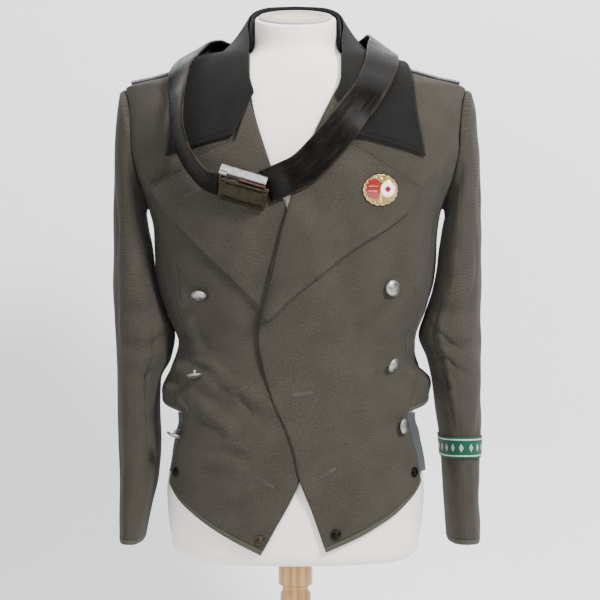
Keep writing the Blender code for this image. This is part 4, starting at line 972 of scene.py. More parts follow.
def lapel_points(side, table, x_share, row_share):
    """Points of a lapel on the front of the body."""
    roll_x, roll_z, edge_x, edge_z = np.moveaxis(curve(table, row_share), -1, 0)
    x = roll_x + x_share * (edge_x - roll_x)
    z = roll_z + x_share * (edge_z - roll_z)
    towards_gorge = np.minimum(x_share / GORGE_SHARE, (1 - x_share) / (1 - GORGE_SHARE))
    z = z - GORGE_DROP * towards_gorge * ease((row_share - GORGE_FROM_ROW) / (1 - GORGE_FROM_ROW))
    beyond = np.maximum(np.abs(x) - LAPEL_FLAT_FROM, 0)
    base = ring(turn_at(np.sign(x) * (np.abs(x) - (1 - LAPEL_FLATTENING) * beyond), z), z)
    direction, _ = off_body(base)
    base[..., 0] = x
    return base + direction * lapel_extra(side, x, z, x_share)[..., None]


def lapel_grid(side, table, rows, shares):
    """A lapel's inner face, from its point of crossing up to the gorge."""
    across, along = np.meshgrid(shares, rows)
    return for_side(side, lapel_points(side, table, across, along))[0]


def lapel(name, side, table, look):
    """A lapel turned back from its roll line and lying on its front."""
    shares = 1 - dense_start(*LAPEL_COLUMNS)[::-1]
    rows = np.concatenate([
        np.linspace(0, GORGE_FROM_ROW, LAPEL_ROWS, endpoint=False),
        np.linspace(GORGE_FROM_ROW, 1, GORGE_ROWS),
    ])
    points = lapel_grid(side, table, rows, shares)
    across = lengths(points, 1)
    from_outer = across[:, -1:] - across if side > 0 else across
    up = lengths(points, 0)
    from_edge = np.minimum(from_outer, up[-1:] - up)
    x, z = points[..., 0], points[..., 2]
    shown = np.ones_like(x) if side > 0 else uncovered(x, z)
    soft = ripples(x, z, LAPEL_SEED + side) * shown * ease(from_edge / LAPEL_EDGE_CALM)
    thick_edge = HEM_RISE * (1 - ease((from_edge - HEM_BAND) / LAPEL_EDGE_SLOPE))
    points = points + outward(points) * (soft + thick_edge)[..., None]
    slope = math.radians(LAPEL_GRAIN) * side
    cosine, sine = math.cos(slope), math.sin(slope)
    flat = np.stack([x * cosine + z * sine, z * cosine - x * sine], axis=-1)
    return shell(name, points, LAPEL_CLOTH, look, flat, from_edge)


def collar_points(share, across):
    """Points of the collar's fall. share runs from -1 to 1 round the neck, across from fold to edge."""
    keyed = curve(COLLAR, np.abs(share))
    fold, middle, edge = keyed[..., 0:3], keyed[..., 3:6], keyed[..., 6:9]
    r = across[..., None]
    bowed = fold * 2 * (r - 0.5) * (r - 1) + middle * 4 * r * (1 - r) + edge * 2 * r * (r - 0.5)
    bent = np.where(r < 0.5, fold + (middle - fold) * 2 * r, middle + (edge - middle) * (2 * r - 1))
    to_end = ease((np.abs(share) - COLLAR_END_FROM) / (1 - COLLAR_END_FROM))[..., None]
    points = bowed + (bent - bowed) * to_end
    points[..., 0] *= np.where(share < 0, -1.0, 1.0)
    return settle(points, value(COLLAR_LIFT, np.abs(share)))


def collar(look):
    """The fall of the collar, from one front end round the neck to the other."""
    ends = dense_start(*COLLAR_COLUMNS)
    shares = np.concatenate([1 - ends, -(1 - ends[:-1])[::-1]])
    across = np.concatenate([
        1 - np.linspace(0, COLLAR_EDGE, COLLAR_EDGE_ROWS),
        np.linspace(1 - COLLAR_EDGE, 0, COLLAR_ROWS)[1:],
    ])
    share, down = np.meshgrid(shares, across)
    points = collar_points(share, down)
    for _ in range(COLLAR_SMOOTHING):
        points[:, 1:-1] = (points[:, :-2] + 2 * points[:, 1:-1] + points[:, 2:]) / 4
    along, up = lengths(points, 1), lengths(points, 0)
    from_edge = np.minimum(np.minimum(along, along[:, -1:] - along), up)
    flat = np.stack([share * COLLAR_HALF_LENGTH, up], axis=-1)
    groove = -STITCH_DEPTH * hump(np.abs(from_edge - COLLAR_STITCH), STITCH_HALF_WIDTH)
    points = points + outward(points) * groove[..., None]
    return shell("collar_cloth", points, COLLAR_CLOTH, look, flat, from_edge)


def collar_stand(look):
    """The upright band inside the fold, standing on the neckline."""
    share = np.linspace(STAND_END_SHARE, -STAND_END_SHARE, STAND_COLUMNS)
    fold = curve(COLLAR, np.abs(share))[:, 0:3]
    fold[:, 0] *= np.where(share < 0, -1.0, 1.0)
    inward = np.array([0.0, NECK_AXIS_Y, 0.0]) - fold
    inward[:, 2] = 0
    top = fold + unit(inward) * (STAND_THICKNESS + LAYER)
    bottom = top.copy()
    bottom[:, 2] = STAND_BOTTOM
    rise = np.linspace(0, 1, STAND_ROWS)[:, None, None]
    points = settle(bottom + rise * (top - bottom), np.full((STAND_ROWS, len(share)), LAYER))
    up = lengths(points, 0)
    flat = np.stack([lengths(points, 1), up], axis=-1)
    return shell("collar_stand_cloth", points, STAND_THICKNESS, look, flat, up)


def lining_strip(name, side, look):
    """The edge of the lining that shows beside the lower end of a front."""
    heights = np.repeat(np.linspace(*LINING_HEIGHTS, LINING_ROWS)[:, None], LINING_COLUMNS, axis=1)
    edge = np.degrees(panel_limit(heights, 1))
    reach = np.linspace(*LINING_REACH[side], LINING_ROWS)[:, None]
    share = np.linspace(0, 1, LINING_COLUMNS)[None, :]
    turn = np.radians(edge - LINING_HIDDEN + share * (LINING_HIDDEN + reach)) * side
    points = cloth_points(turn, heights, np.full(turn.shape, -LINING_CLOTH - LAYER))
    points, flat = for_side(side, points, body_flat(turn, heights))
    return shell(name, points, LINING_CLOTH, look, flat)


def board_grid(side, steps, rows):
    """The under face of a shoulder board, its inner end under the collar."""
    x = side * np.linspace(BOARD_OUTER_X - BOARD_LENGTH, BOARD_OUTER_X, steps)
    y = np.linspace(-BOARD_WIDTH / 2, BOARD_WIDTH / 2, rows)
    across, behind = np.meshgrid(x[::side], y)
    guess = np.stack([across, behind, np.full(across.shape, SHOULDER_HEIGHT)], axis=-1)
    return lay(guess, np.full(across.shape, CLOTH + LAYER))


def shoulder_board(name, side, underlay, silver):
    """A dark underlay with silver cords that run side by side along the board."""
    points = board_grid(side, BOARD_STEPS, BOARD_ROWS)
    out = outward(points)
    y = np.linspace(-0.5, 0.5, BOARD_ROWS) * BOARD_WIDTH
    half = BOARD_WIDTH / 2 - CORD_MARGIN
    middle = np.flatnonzero(np.abs(y) < half)
    wave = np.abs(np.sin((y[middle] + half) / (2 * half) * CORD_COUNT * np.pi))[:, None, None]
    under = shell(name + "_underlay", points, UNDERLAY_THICKNESS, underlay, points[..., :2])
    foot = points[middle] + out[middle] * CORD_LIFT
    cords = shell(name + "_cords", foot, CORD_WALL, silver, points[middle][..., :2])
    count = len(middle) * BOARD_STEPS
    coordinates = np.array([tuple(v.co) for v in cords.data.vertices])
    coordinates[count:] += (out[middle] * CORD_RIDGE * wave ** 0.5).reshape(-1, 3)
    cords.data.vertices.foreach_set("co", coordinates.ravel())
    return under, cords


def solid(name, rings, look, smooth_under=40):
    """A closed solid on rings of points from bottom to top, with flat ends."""
    builder = bmesh.new()
    rows = [[builder.verts.new(point) for point in ring_at] for ring_at in np.asarray(rings, float).tolist()]
    count = len(rows[0])
    for low, high in zip(rows, rows[1:]):
        for k in range(count):
            builder.faces.new((low[k], low[(k + 1) % count], high[(k + 1) % count], high[k]))
    builder.faces.new(rows[0][::-1])
    builder.faces.new(rows[-1])
    return finished(name, builder, look, smooth_under)


def turned(name, profile, steps, look, smooth_under=40):
    """A turned solid: radius and height pairs, bottom to top, round the Z axis."""
    turns = np.linspace(0, 2 * np.pi, steps, endpoint=False)
    rings = [[(r * math.sin(t), -r * math.cos(t), z) for t in turns] for r, z in profile]
    return solid(name, rings, look, smooth_under)


def placed(made, point, out):
    """Moves a turned piece to its place, its axis along the direction."""
    rotation = Vector(out).to_track_quat("Z", "Y").to_matrix().to_4x4()
    made.matrix_world = Matrix.Translation(Vector(point)) @ rotation
    return made


def joined(name, parts):
    """Several objects as one mesh, in world places."""
    builder = bmesh.new()
    looks = []
    for made in parts:
        mesh = made.data.copy()
        mesh.transform(made.matrix_world)
        for polygon in mesh.polygons:
            polygon.material_index += len(looks)
        looks += list(mesh.materials)
        builder.from_mesh(mesh)
        bpy.data.objects.remove(made)
    mesh = bpy.data.meshes.new(name)
    builder.to_mesh(mesh)
    builder.free()
    for look in looks:
        mesh.materials.append(look)
    return linked(name, mesh)


def outer_face(grid, thickness):
    """A wall's outer face as points and the directions straight out of it."""
    out = outward(grid).reshape(-1, 3)
    return grid.reshape(-1, 3) + out * thickness, out


def faces_below_belt():
    """The outer faces of the collar, the fronts, the lapels and the shoulder boards."""
    share, across = np.meshgrid(np.linspace(1, -1, COLLAR_SAMPLES[0]), np.linspace(1, 0, COLLAR_SAMPLES[1]))
    turn, height = np.meshgrid(
        np.radians(np.linspace(-CHEST_TURN, CHEST_TURN, CHEST_SAMPLES[0])),
        np.linspace(*CHEST_HEIGHTS, CHEST_SAMPLES[1]),
    )
    rows = np.linspace(LAPEL_SAMPLED_FROM, 1, LAPEL_SAMPLES[0])
    shares = np.linspace(0, 1, LAPEL_SAMPLES[1])
    faces = [
        outer_face(collar_points(share, across), COLLAR_CLOTH),
        outer_face(cloth_points(turn, height, np.zeros_like(turn)), CLOTH),
        outer_face(lapel_grid(1, LEFT_LAPEL, rows, shares), LAPEL_CLOTH),
        outer_face(lapel_grid(-1, RIGHT_LAPEL, rows, shares), LAPEL_CLOTH),
        *(outer_face(board_grid(side, *BOARD_SAMPLES), BOARD_THICKNESS) for side in (1, -1)),
    ]
    return np.concatenate([points for points, _ in faces]), np.concatenate([out for _, out in faces])


def push_off(points, faces, clearance):
    """How far each point must move, and which way, to clear the faces by this much."""
    face_points, out = faces
    flat = points.reshape(-1, 3)
    distance = np.linalg.norm(flat[:, None, :] - face_points[None, :, :], axis=2)
    nearest = distance.argmin(axis=1)
    gap = ((flat - face_points[nearest]) * out[nearest]).sum(axis=1)
    beside = distance[np.arange(len(flat)), nearest] > np.abs(gap) + BESIDE_FACE
    push = np.where(beside, 0.0, np.maximum(clearance - gap, 0.0))
    return (out[nearest] * push[:, None]).reshape(points.shape), push.reshape(points.shape[:-1])


def belt(look):
    """The leather belt as it lies round the collar, from one end of its buckle to the other."""
    keyed = [(index, *entry) for index, entry in enumerate(BELT)]
    values = curve(keyed, np.linspace(0, len(BELT) - 1, BELT_STEPS + 1))
    middle, width = values[:, 0:3], values[:, 3:6]
    tangent = unit(np.gradient(middle, axis=0))
    width = unit(width - tangent * (width * tangent).sum(axis=1)[:, None])
    across = np.linspace(-0.5, 0.5, BELT_TESTED)[None, :, None] * BELT_WIDTH
    faces = faces_below_belt()
    for _ in range(BELT_SETTLING):
        tested = middle[:, None, :] + across * width[:, None, :]
        move, push = push_off(tested, faces, BELT_THICKNESS / 2 + BELT_CLEARANCE)
        step = move[np.arange(len(middle)), push.argmax(axis=1)]
        spread = np.pad(step, ((1, 1), (0, 0)), mode="edge")
        middle = middle + (spread[:-2] + 2 * spread[1:-1] + spread[2:]) / 4
    fine = np.linspace(0, BELT_STEPS, BELT_COLUMNS)
    middle = curve(np.column_stack([np.arange(BELT_STEPS + 1), middle]), fine)
    width = unit(curve(np.column_stack([np.arange(BELT_STEPS + 1), width]), fine))
    normal = unit(np.cross(np.gradient(middle, axis=0), width))
    shares = np.concatenate([np.linspace(*row) for row in BELT_ROWS])
    cup = BELT_CUP * (1 - (2 * shares) ** 2)
    grid = (
        middle[None, ::-1] + shares[:, None, None] * BELT_WIDTH * width[None, ::-1]
        + (BELT_THICKNESS / 2 - cup[:, None, None]) * normal[None, ::-1]
    )
    along, over = lengths(grid, 1), lengths(grid, 0)
    flat = np.stack([along, over], axis=-1)
    return shell("belt_leather", grid, BELT_THICKNESS, look, flat, np.minimum(over, over[-1:] - over))


def plate_axes(spot):
    """A plate's right, outward and upward directions."""
    _, right, out, _ = spot
    right = np.array(right) / np.linalg.norm(right)
    out = np.array(out) - right * np.dot(out, right)
    out /= np.linalg.norm(out)
    return right, out, np.cross(right, out)


def plate(name, spot, look, bevel=0.0006):
    """A bevelled plate at its own centre, width and thickness directions."""
    centre, size = spot[0], spot[3]
    right, out, up = plate_axes(spot)
    builder = bmesh.new()
    bmesh.ops.create_cube(builder, size=1.0)
    for vertex in builder.verts:
        x, y, z = tuple(vertex.co)
        vertex.co = centre + right * x * size[0] + out * y * size[1] + up * z * size[2]
    bmesh.ops.bevel(builder, geom=list(builder.edges), offset=bevel, segments=3, affect="EDGES", profile=0.5)
    return finished(name, builder, look, 35)


def on_plate(spot, part, look, bevel=0.0006):
    """A smaller plate on a plate, from a row of its table of parts."""
    name, right_share, up_share, out_share, *part_size = part
    centre, right_way, out_way, size = spot
    right, out, up = plate_axes(spot)
    offset = right * right_share * size[0] + out * out_share * size[1] + up * up_share * size[2]
    return plate(name, (centre + offset / 2, right_way, out_way, part_size), look, bevel)


def buckle(steel, brass, copper):
    """The box buckle: a dark face with a raised rim, and a steel plate turned up to the front."""
    face = [plate("face", BUCKLE_FACE, brass, 0.0012)]
    face += [on_plate(BUCKLE_FACE, part, brass) for part in FACE_PARTS]
    hooks = [plate("plate", BUCKLE_PLATE, steel, 0.0008), on_plate(BUCKLE_PLATE, EAR, steel)]
    hooks += [on_plate(BUCKLE_PLATE, part, copper, 0.0009) for part in LOOPS]
    return joined("buckle_face_metal", face), joined("buckle_plate_metal", hooks)


def front_spot(side, x, z, out):
    """A point this far out from the outer face of a front, and the direction straight out there."""
    base = ring(turn_at(np.array(x), np.array(z)), np.array(z))
    direction, _ = off_body(base)
    lift = over_lift(x, np.array(z)) if side > 0 else 0.0
    fine = creased(base[..., 0], base[..., 2], FRONT_CREASES)
    return base + direction * (CLOTH + fold_height(base) + fine + lift + out), direction


def button(name, x, z, facing, lift, pressed, look, thread):
    """A domed button with a rolled rim, its shank and the thread that holds it."""
    radius, rim = BUTTON_RADIUS, lift + BUTTON_RIM
    profile = [
        (SHANK_RADIUS, 0.0), (SHANK_RADIUS, lift), (radius * 0.90, lift), (radius * 0.98, lift + 0.0003),
        (radius, rim), (radius * 0.985, rim + 0.0005), (radius * DOME_SHARE, rim + 0.0006),
    ]
    profile += [
        (radius * DOME_SHARE * math.cos(t), rim + 0.0004 + DOME_HEIGHT * math.sin(t))
        for t in np.radians(np.linspace(8, 84, 12))
    ]
    point, out = front_spot(1 if x > 0 else -1, x, z, 2 * SEAM - pressed)
    tilt = Vector(out).angle(Vector(facing))
    foot = point + out * max(0.0, radius * math.sin(tilt) - lift * math.cos(tilt))
    dome = placed(turned(name, profile, 48, look), foot, facing)
    loose = np.linalg.norm(foot - point) + 0.0006
    strands = [(0.0011, 0.0), (0.0008, loose * 0.5), (0.0012, loose)]
    shank = placed(turned(name + "_thread", strands, 10, thread), point - out * 0.0004, out)
    return joined(name + "_metal", [dome, shank])


def snap(name, side, x, z, radius, look):
    """One press stud: a flat ring, a groove and a low dome."""
    profile = [(radius * share, height) for share, height in SNAP_PROFILE]
    point, out = front_spot(side, x, z, 2 * SEAM)
    return placed(turned(name + "_metal", profile, 40, look), point, out)


def buttonhole(name, middle, facing, look):
    """A sewn buttonhole: two close rows of thread with a slit between them."""
    open_share = np.sin(np.pi * np.clip(np.linspace(0, 1, len(middle)), 0.06, 0.94)) ** 0.25
    across = np.cross(unit(np.gradient(middle, axis=0)), facing)
    around = np.radians(np.arange(0, 360, 45))[None, :, None]
    rows = []
    for shift in (-HOLE_HALF_WIDTH, HOLE_HALF_WIDTH):
        path = middle + across * (shift * open_share)[:, None]
        rings = (
            path[:, None, :] + np.cos(around) * across[:, None, :] * HOLE_THREAD_WIDTH
            + np.sin(around) * facing[None, None, :] * HOLE_THREAD_HEIGHT
        )
        rows.append(solid("row", rings, look))
    return joined(name, rows)


def hole_path(where, start, end):
    """The way of a buttonhole on a front or on the right lapel, between two places seen from the front."""
    share = np.linspace(0, 1, HOLE_STEPS)[:, None]
    x, z = np.moveaxis(np.array(start) + share * (np.array(end) - start), -1, 0)
    if where in (1, -1):
        spots = [front_spot(where, a, b, 0.0002) for a, b in zip(x, z)]
        return np.array([point for point, _ in spots]), spots[len(spots) // 2][1]
    grid = lapel_grid(-1, RIGHT_LAPEL, np.linspace(0, 1, 161), np.linspace(0, 1, 121))
    points, out = outer_face(grid, LAPEL_CLOTH)
    nearest = [np.hypot(points[:, 0] - a, points[:, 2] - b).argmin() for a, b in zip(x, z)]
    path = points[nearest] + out[nearest] * SEAM
    along = np.linspace(0, 1, len(path))
    smooth = [np.polyval(np.polyfit(along, path[:, k], 3), along) for k in range(3)]
    return np.stack(smooth, axis=-1), out[nearest[HOLE_STEPS // 2]]


def oval(half_width, half_height, turns):
    """An oval as x and y, from its lowest point round."""
    return [(half_width * math.sin(t), -half_height * math.cos(t)) for t in turns]


def badge(gilt, red, white):
    """A plain enamel badge: a scalloped gilt rim round a barred red field and a white disc."""
    grid = lapel_grid(1, LEFT_LAPEL, np.linspace(0, 1, 81), np.linspace(0, 1, 61))
    points, out = outer_face(grid, LAPEL_CLOTH)
    spot = np.hypot(points[:, 0] - BADGE_X, points[:, 2] - BADGE_Z).argmin()
    place, facing = points[spot] + out[spot] * 0.0004, out[spot]

    def layer(name, outline, levels, look, dx=0.0, dy=0.0):
        rings = [[(a * k + dx, b * k + dy, z) for a, b in outline] for k, z in levels]
        return placed(solid(name, rings, look, 30), place, facing)

    turns = np.linspace(0, 2 * np.pi, 144, endpoint=False)
    scallop = 1 + RIM_BUMP * np.abs(np.sin(turns * RIM_BUMPS))
    rim = [(a * s, b * s) for (a, b), s in zip(oval(*RIM_SIZE, turns), scallop)]
    field, disc = oval(0.0100, 0.0135, turns[::3]), oval(0.0098, 0.0098, turns[::3])
    lozenge = [(0.0046, 0), (0, 0.0046), (-0.0046, 0), (0, -0.0046)]
    bar = [(-0.0012, -0.0150), (0.0012, -0.0150), (0.0012, 0.0150), (-0.0012, 0.0150)]
    stripe = [(-0.0066, -0.0009), (0.0066, -0.0009), (0.0066, 0.0009), (-0.0066, 0.0009)]
    pieces = (
        ("field", field, -0.0098, 0.0016, 1.0, 0.0024, red),
        ("disc_rim", disc, 0.0092, 0.0012, 1.12, 0.0025, gilt),
        ("disc", disc, 0.0092, 0.0012, 0.98, 0.0029, white),
        ("lozenge", lozenge, 0.0092, 0.0012, 1.0, 0.0033, red),
        ("bar", bar, 0.0002, 0.0, 1.0, 0.0027, gilt),
        ("stripe", stripe, -0.0098, 0.0046, 1.0, 0.0028, gilt),
        ("stripe", stripe, -0.0098, -0.0016, 1.0, 0.0028, gilt),
    )
    parts = [layer("rim", rim, ((0.97, 0.0), (1.0, 0.0005), (1.0, 0.0013), (0.96, 0.0019)), gilt)]
    for name, outline, dx, dy, size, top, look in pieces:
        levels = ((size, 0.0010), (size, top - 0.0003), (size * 0.95, top))
        parts.append(layer(name, outline, levels, look, dx, dy))
    for a, b in oval(*BEADS_AT, np.radians(np.arange(0, 360, 20))):
        bead = turned("bead", BEAD_PROFILE, 12, gilt)
        bead.data.transform(Matrix.Translation((a, b, 0.0012)))
        parts.append(placed(bead, place, facing))
    return joined("badge_enamel", parts)


def dress_form(look):
    """The padded torso: the body surface, drawn in, with a rounded bottom and a slanting top."""
    turns = np.linspace(0, 2 * np.pi, FORM_STEPS, endpoint=False)
    levels = [
        (FORM_BOTTOM + FORM_ROUNDING * (1 - math.cos(t)), 0.86 + 0.125 * math.sin(t))
        for t in np.radians(np.arange(0, 91, 11.25))
    ]
    heights = np.concatenate([np.linspace(0.245, 0.83, 60), np.linspace(0.833, FORM_NECK, 40)])
    levels += [(height, 0.985 + 0.015 * float(ease((height - 0.235) / 0.035))) for height in heights]
    rings = []
    for height, share in levels:
        base = ring(turns, np.full(FORM_STEPS, height))
        direction, _ = off_body(base)
        points = (base - direction * value(FORM_GAP, height)) * (share, share, 1)
        points[:, 2] = height + (points[:, 2] - height) * (share >= 1)
        rings.append(points)
    for share, shrink in FORM_TOP_ROWS:
        height = FORM_NECK + share * (FORM_TOP - FORM_NECK)
        top = ring(turns, np.full(FORM_STEPS, height)) * (shrink, shrink, 1)
        top[:, 2] += FORM_TILT * top[:, 1] * share
        rings.append(top)
    return solid("form_canvas", rings, look, 60)


def neck_cap(rim, disc):
    """The turned cap that closes the form's neck, with a disc let into it; its rim is painted grey for the
    shade where it curves over the edge.
    """
    profile = (
        (CAP_RADIUS - 0.0004, 0.0), (CAP_RADIUS, 0.0006), (CAP_RADIUS, CAP_HEIGHT - 0.0008),
        (CAP_RADIUS - 0.0010, CAP_HEIGHT), (CAP_DISC_RADIUS + 0.0010, CAP_HEIGHT),
        (CAP_DISC_RADIUS, CAP_HEIGHT - 0.0008), (CAP_DISC_RADIUS - 0.0004, CAP_HEIGHT - 0.0012),
    )
    made = turned("cap_wood", profile, 96, rim)
    made.data.materials.append(disc)
    made.data.polygons[-1].material_index = 1
    lean = Matrix.Rotation(math.atan(FORM_TILT), 4, "X")
    height = FORM_TOP + CAP_FORWARD * FORM_TILT + SEAM * 1.2
    made.matrix_world = Matrix.Translation((0, CAP_FORWARD, height)) @ lean
    return made


def stand(look):
    """The wooden post and its round base."""
    top = FORM_BOTTOM - SEAM
    post = (
        (0.0285, BASE_HEIGHT + SEAM), (0.030, BASE_HEIGHT + 0.0018), (0.030, 0.0290), (0.0285, 0.0310),
        (0.0255, 0.0375), (0.0240, 0.0405), (0.0215, 0.0460), (POST_RADIUS, 0.0490), (POST_RADIUS, 0.1640),
        (0.0200, 0.1655), (0.0178, 0.1690), (0.0172, 0.1715), (0.0178, 0.1740), (0.0222, 0.1765),
        (POST_RING_RADIUS, 0.1785), (POST_RING_RADIUS, top - 0.0010), (0.0222, top),
    )
    base = (
        (BASE_RADIUS - 0.003, 0.0), (BASE_RADIUS - 0.0008, 0.0012), (BASE_RADIUS, 0.003),
        (BASE_RADIUS, 0.0115), (BASE_RADIUS - 0.0012, 0.0145), (BASE_RADIUS - 0.0045, 0.0185),
        (BASE_RADIUS - 0.009, 0.0212), (BASE_RADIUS - 0.013, BASE_HEIGHT),
    )
    return turned("post_wood", post, 96, look), turned("base_wood", base, 160, look)


class Look:
    """A Principled material with its nodes."""

    def __init__(self, name, roughness=0.8, metallic=0.0, **sockets):
        self.material = bpy.data.materials.new(name)
        self.material.use_nodes = True
        self.nodes = self.material.node_tree.nodes
        self.links = self.material.node_tree.links
        self.shader = self.nodes["Principled BSDF"]
        self.shader.inputs["Roughness"].default_value = roughness
        self.shader.inputs["Metallic"].default_value = metallic
        for socket, setting in sockets.items():
            self.shader.inputs[socket.replace("_", " ")].default_value = setting

    def node(self, kind, inputs=None, **settings):
        made = self.nodes.new(kind)
        for key, setting in settings.items():
            setattr(made, key, setting)
        for socket, source in (inputs or {}).items():
            if isinstance(source, bpy.types.NodeSocket):
                self.links.new(source, made.inputs[socket])
            else:
                made.inputs[socket].default_value = source
        return made

    def places(self, flat=True):
        """Metres on the flat cloth, or metres in space."""
        if flat:
            return self.node("ShaderNodeUVMap", uv_map="flat").outputs["UV"]
        return self.node("ShaderNodeTexCoord").outputs["Object"]

    def stretched(self, vector, scale=(1, 1, 1), degrees=0.0):
        inputs = {"Vector": vector, "Scale": scale, "Rotation": (0, 0, math.radians(degrees))}
        return self.node("ShaderNodeMapping", inputs).outputs["Vector"]

    def noise(self, vector, scale, detail=3.0, roughness=0.5):
        inputs = {"Vector": vector, "Scale": scale, "Detail": detail, "Roughness": roughness}
        return self.node("ShaderNodeTexNoise", inputs).outputs["Fac"]

    def wave(self, vector, scale, distortion=0.0):
        inputs = {"Vector": vector, "Scale": scale, "Distortion": distortion}
        return self.node("ShaderNodeTexWave", inputs).outputs["Fac"]

    def math(self, operation, *numbers):
        return self.node("ShaderNodeMath", dict(enumerate(numbers)), operation=operation).outputs[0]

    def plus(self, a, b):
        return self.math("ADD", a, b)

    def minus(self, a, b):
        return self.math("SUBTRACT", a, b)

    def times(self, a, b):
        return self.math("MULTIPLY", a, b)

    def away(self, a, b):
        """How far a is from b, either way."""
        return self.math("ABSOLUTE", self.minus(a, b))

    def ranged(self, source, low, high, to_low=0.0, to_high=1.0, smooth=False):
        inputs = {"Value": source, "From Min": low, "From Max": high, "To Min": to_low, "To Max": to_high}
        kind = "SMOOTHSTEP" if smooth else "LINEAR"
        return self.node("ShaderNodeMapRange", inputs, interpolation_type=kind).outputs["Result"]

    def mixed(self, share, a, b):
        made = self.node("ShaderNodeMix", {0: share}, data_type="RGBA")
        for socket, source in ((6, a), (7, b)):
            if isinstance(source, bpy.types.NodeSocket):
                self.links.new(source, made.inputs[socket])
            else:
                made.inputs[socket].default_value = (*source, 1.0)
        return made.outputs[2]

    def from_edge(self):
        return self.node("ShaderNodeAttribute", attribute_name="edge").outputs["Fac"]

    def line_at(self, distance, half_width):
        """1 on a line that runs this far from the edge, and 0 away from it."""
        return self.ranged(self.away(self.from_edge(), distance), half_width, half_width * 0.4, smooth=True)

    def colour(self, source):
        self.links.new(source, self.shader.inputs["Base Color"])

    def rough(self, source):
        self.links.new(source, self.shader.inputs["Roughness"])

    def bump(self, height, strength, distance):
        made = self.node("ShaderNodeBump", {"Height": height, "Strength": strength, "Distance": distance})
        self.links.new(made.outputs["Normal"], self.shader.inputs["Normal"])


def darker(colour, share):
    return tuple(part * share for part in colour)


def wool(name, dark, light, stitch=None, band=None, wale=0.0013):
    """Twill with a heathered colour and painted shade in the hollows of its weave, and a stitched line or a
    band along its edges.
    """
    look = Look(name, 0.95, Sheen_Weight=0.05, Sheen_Roughness=0.5, Specular_IOR_Level=0.10)
    flat = look.places()
    waves = 1 / wale / 6.283
    heather = look.noise(flat, 420.0, 4.0, 0.7)
    cloud = look.noise(flat, 24.0, 3.0, 0.55)
    share = look.plus(look.times(heather, 0.75), look.times(cloud, 0.25))
    colour = look.mixed(look.ranged(share, 0.28, 0.72), dark, light)
    ribs = look.wave(look.stretched(flat, degrees=63), waves, 0.6)
    threads = look.wave(look.stretched(flat, degrees=-20), waves * 1.7, 0.8)
    weave = look.plus(look.times(ribs, 0.6), look.times(threads, 0.35))
    # Painted shade: the twill's hollows, where the weave is low, are painted darker for the shade that falls
    # in them.
    colour = look.mixed(look.ranged(weave, 0.15, 0.8, 0.35, 0.0), colour, darker(dark, 0.45))
    height = look.plus(weave, look.times(heather, 0.9))
    if band is not None:
        on_band = look.ranged(look.from_edge(), HEM_BAND + 0.0006, HEM_BAND - 0.0004)
        colour = look.mixed(look.times(on_band, 0.5), colour, band)
        colour = look.mixed(look.times(look.line_at(HEM_BAND, 0.0010), 0.55), colour, darker(dark, 0.4))
        height = look.minus(height, look.times(look.line_at(HEM_BAND, 0.0012), 1.6))
    if stitch is not None:
        colour = look.mixed(look.times(look.line_at(stitch, 0.0009), 0.5), colour, darker(dark, 0.35))
        height = look.minus(height, look.times(look.line_at(stitch, 0.0012), 2.0))
    look.colour(colour)
    look.bump(height, 0.5, 0.00045)
    return look.material


def plain_cloth(name, dark, light, scale=900.0, roughness=0.85):
    """Fine smooth cloth, such as a lining or the form's cover."""
    look = Look(name, roughness, Sheen_Weight=0.12)
    flat = look.places(flat=False)
    colour = look.mixed(look.ranged(look.noise(flat, 14.0, 4.0, 0.6), 0.3, 0.7), dark, light)
    look.colour(colour)
    look.bump(look.noise(flat, scale, 2.0, 0.6), 0.35, 0.0003)
    return look.material


def leather(name):
    """Worn black-brown leather: fine grain, long scuffs and browner, duller edges."""
    look = Look(name, 0.42, Specular_IOR_Level=0.10)
    flat = look.places()
    grain = look.noise(flat, 700.0, 4.0, 0.65)
    scuffs = look.noise(look.stretched(flat, (22.0, 170.0, 1.0)), 1.0, 5.0, 0.65)
    blotches = look.noise(flat, 38.0, 4.0, 0.6)
    colour = look.mixed(look.ranged(blotches, 0.35, 0.7), (0.0012, 0.0010, 0.0008), (0.0050, 0.0036, 0.0026))
    colour = look.mixed(look.ranged(scuffs, 0.58, 0.74, 0.0, 0.6), colour, (0.026, 0.017, 0.011))
    at_edge = look.ranged(look.from_edge(), 0.0035, 0.0, smooth=True)
    worn = look.times(at_edge, look.ranged(blotches, 0.3, 0.6))
    look.colour(look.mixed(look.times(worn, 0.7), colour, (0.040, 0.026, 0.016)))
    look.rough(look.ranged(scuffs, 0.35, 0.75, 0.24, 0.48))
    height = look.plus(look.times(grain, 0.5), look.times(scuffs, 0.8))
    look.bump(look.minus(height, look.times(look.line_at(0.0034, 0.0010), 1.2)), 0.5, 0.0005)
    return look.material


def metal(name, dark, light, roughness, scale=900.0, strength=0.35, depth=0.0003):
    """Worn metal with a pebbled or hammered surface."""
    look = Look(name, roughness, 1.0)
    place = look.places(flat=False)
    pebbles = look.node("ShaderNodeTexVoronoi", {"Vector": place, "Scale": scale}).outputs["Distance"]
    cloud = look.noise(place, 160.0, 4.0, 0.6)
    look.colour(look.mixed(look.ranged(cloud, 0.35, 0.68), dark, light))
    look.rough(look.ranged(cloud, 0.3, 0.7, roughness * 0.75, min(roughness * 1.4, 1.0)))
    look.bump(pebbles, strength, depth)
    return look.material


def enamel(name, colour):
    look = Look(name, 0.16, Coat_Weight=0.6, Coat_Roughness=0.08)
    speck = look.noise(look.places(flat=False), 800.0, 2.0, 0.5)
    light = tuple(min(1.0, part * 1.35 + 0.01) for part in colour)
    look.colour(look.mixed(look.ranged(speck, 0.3, 0.7), colour, light))
    return look.material


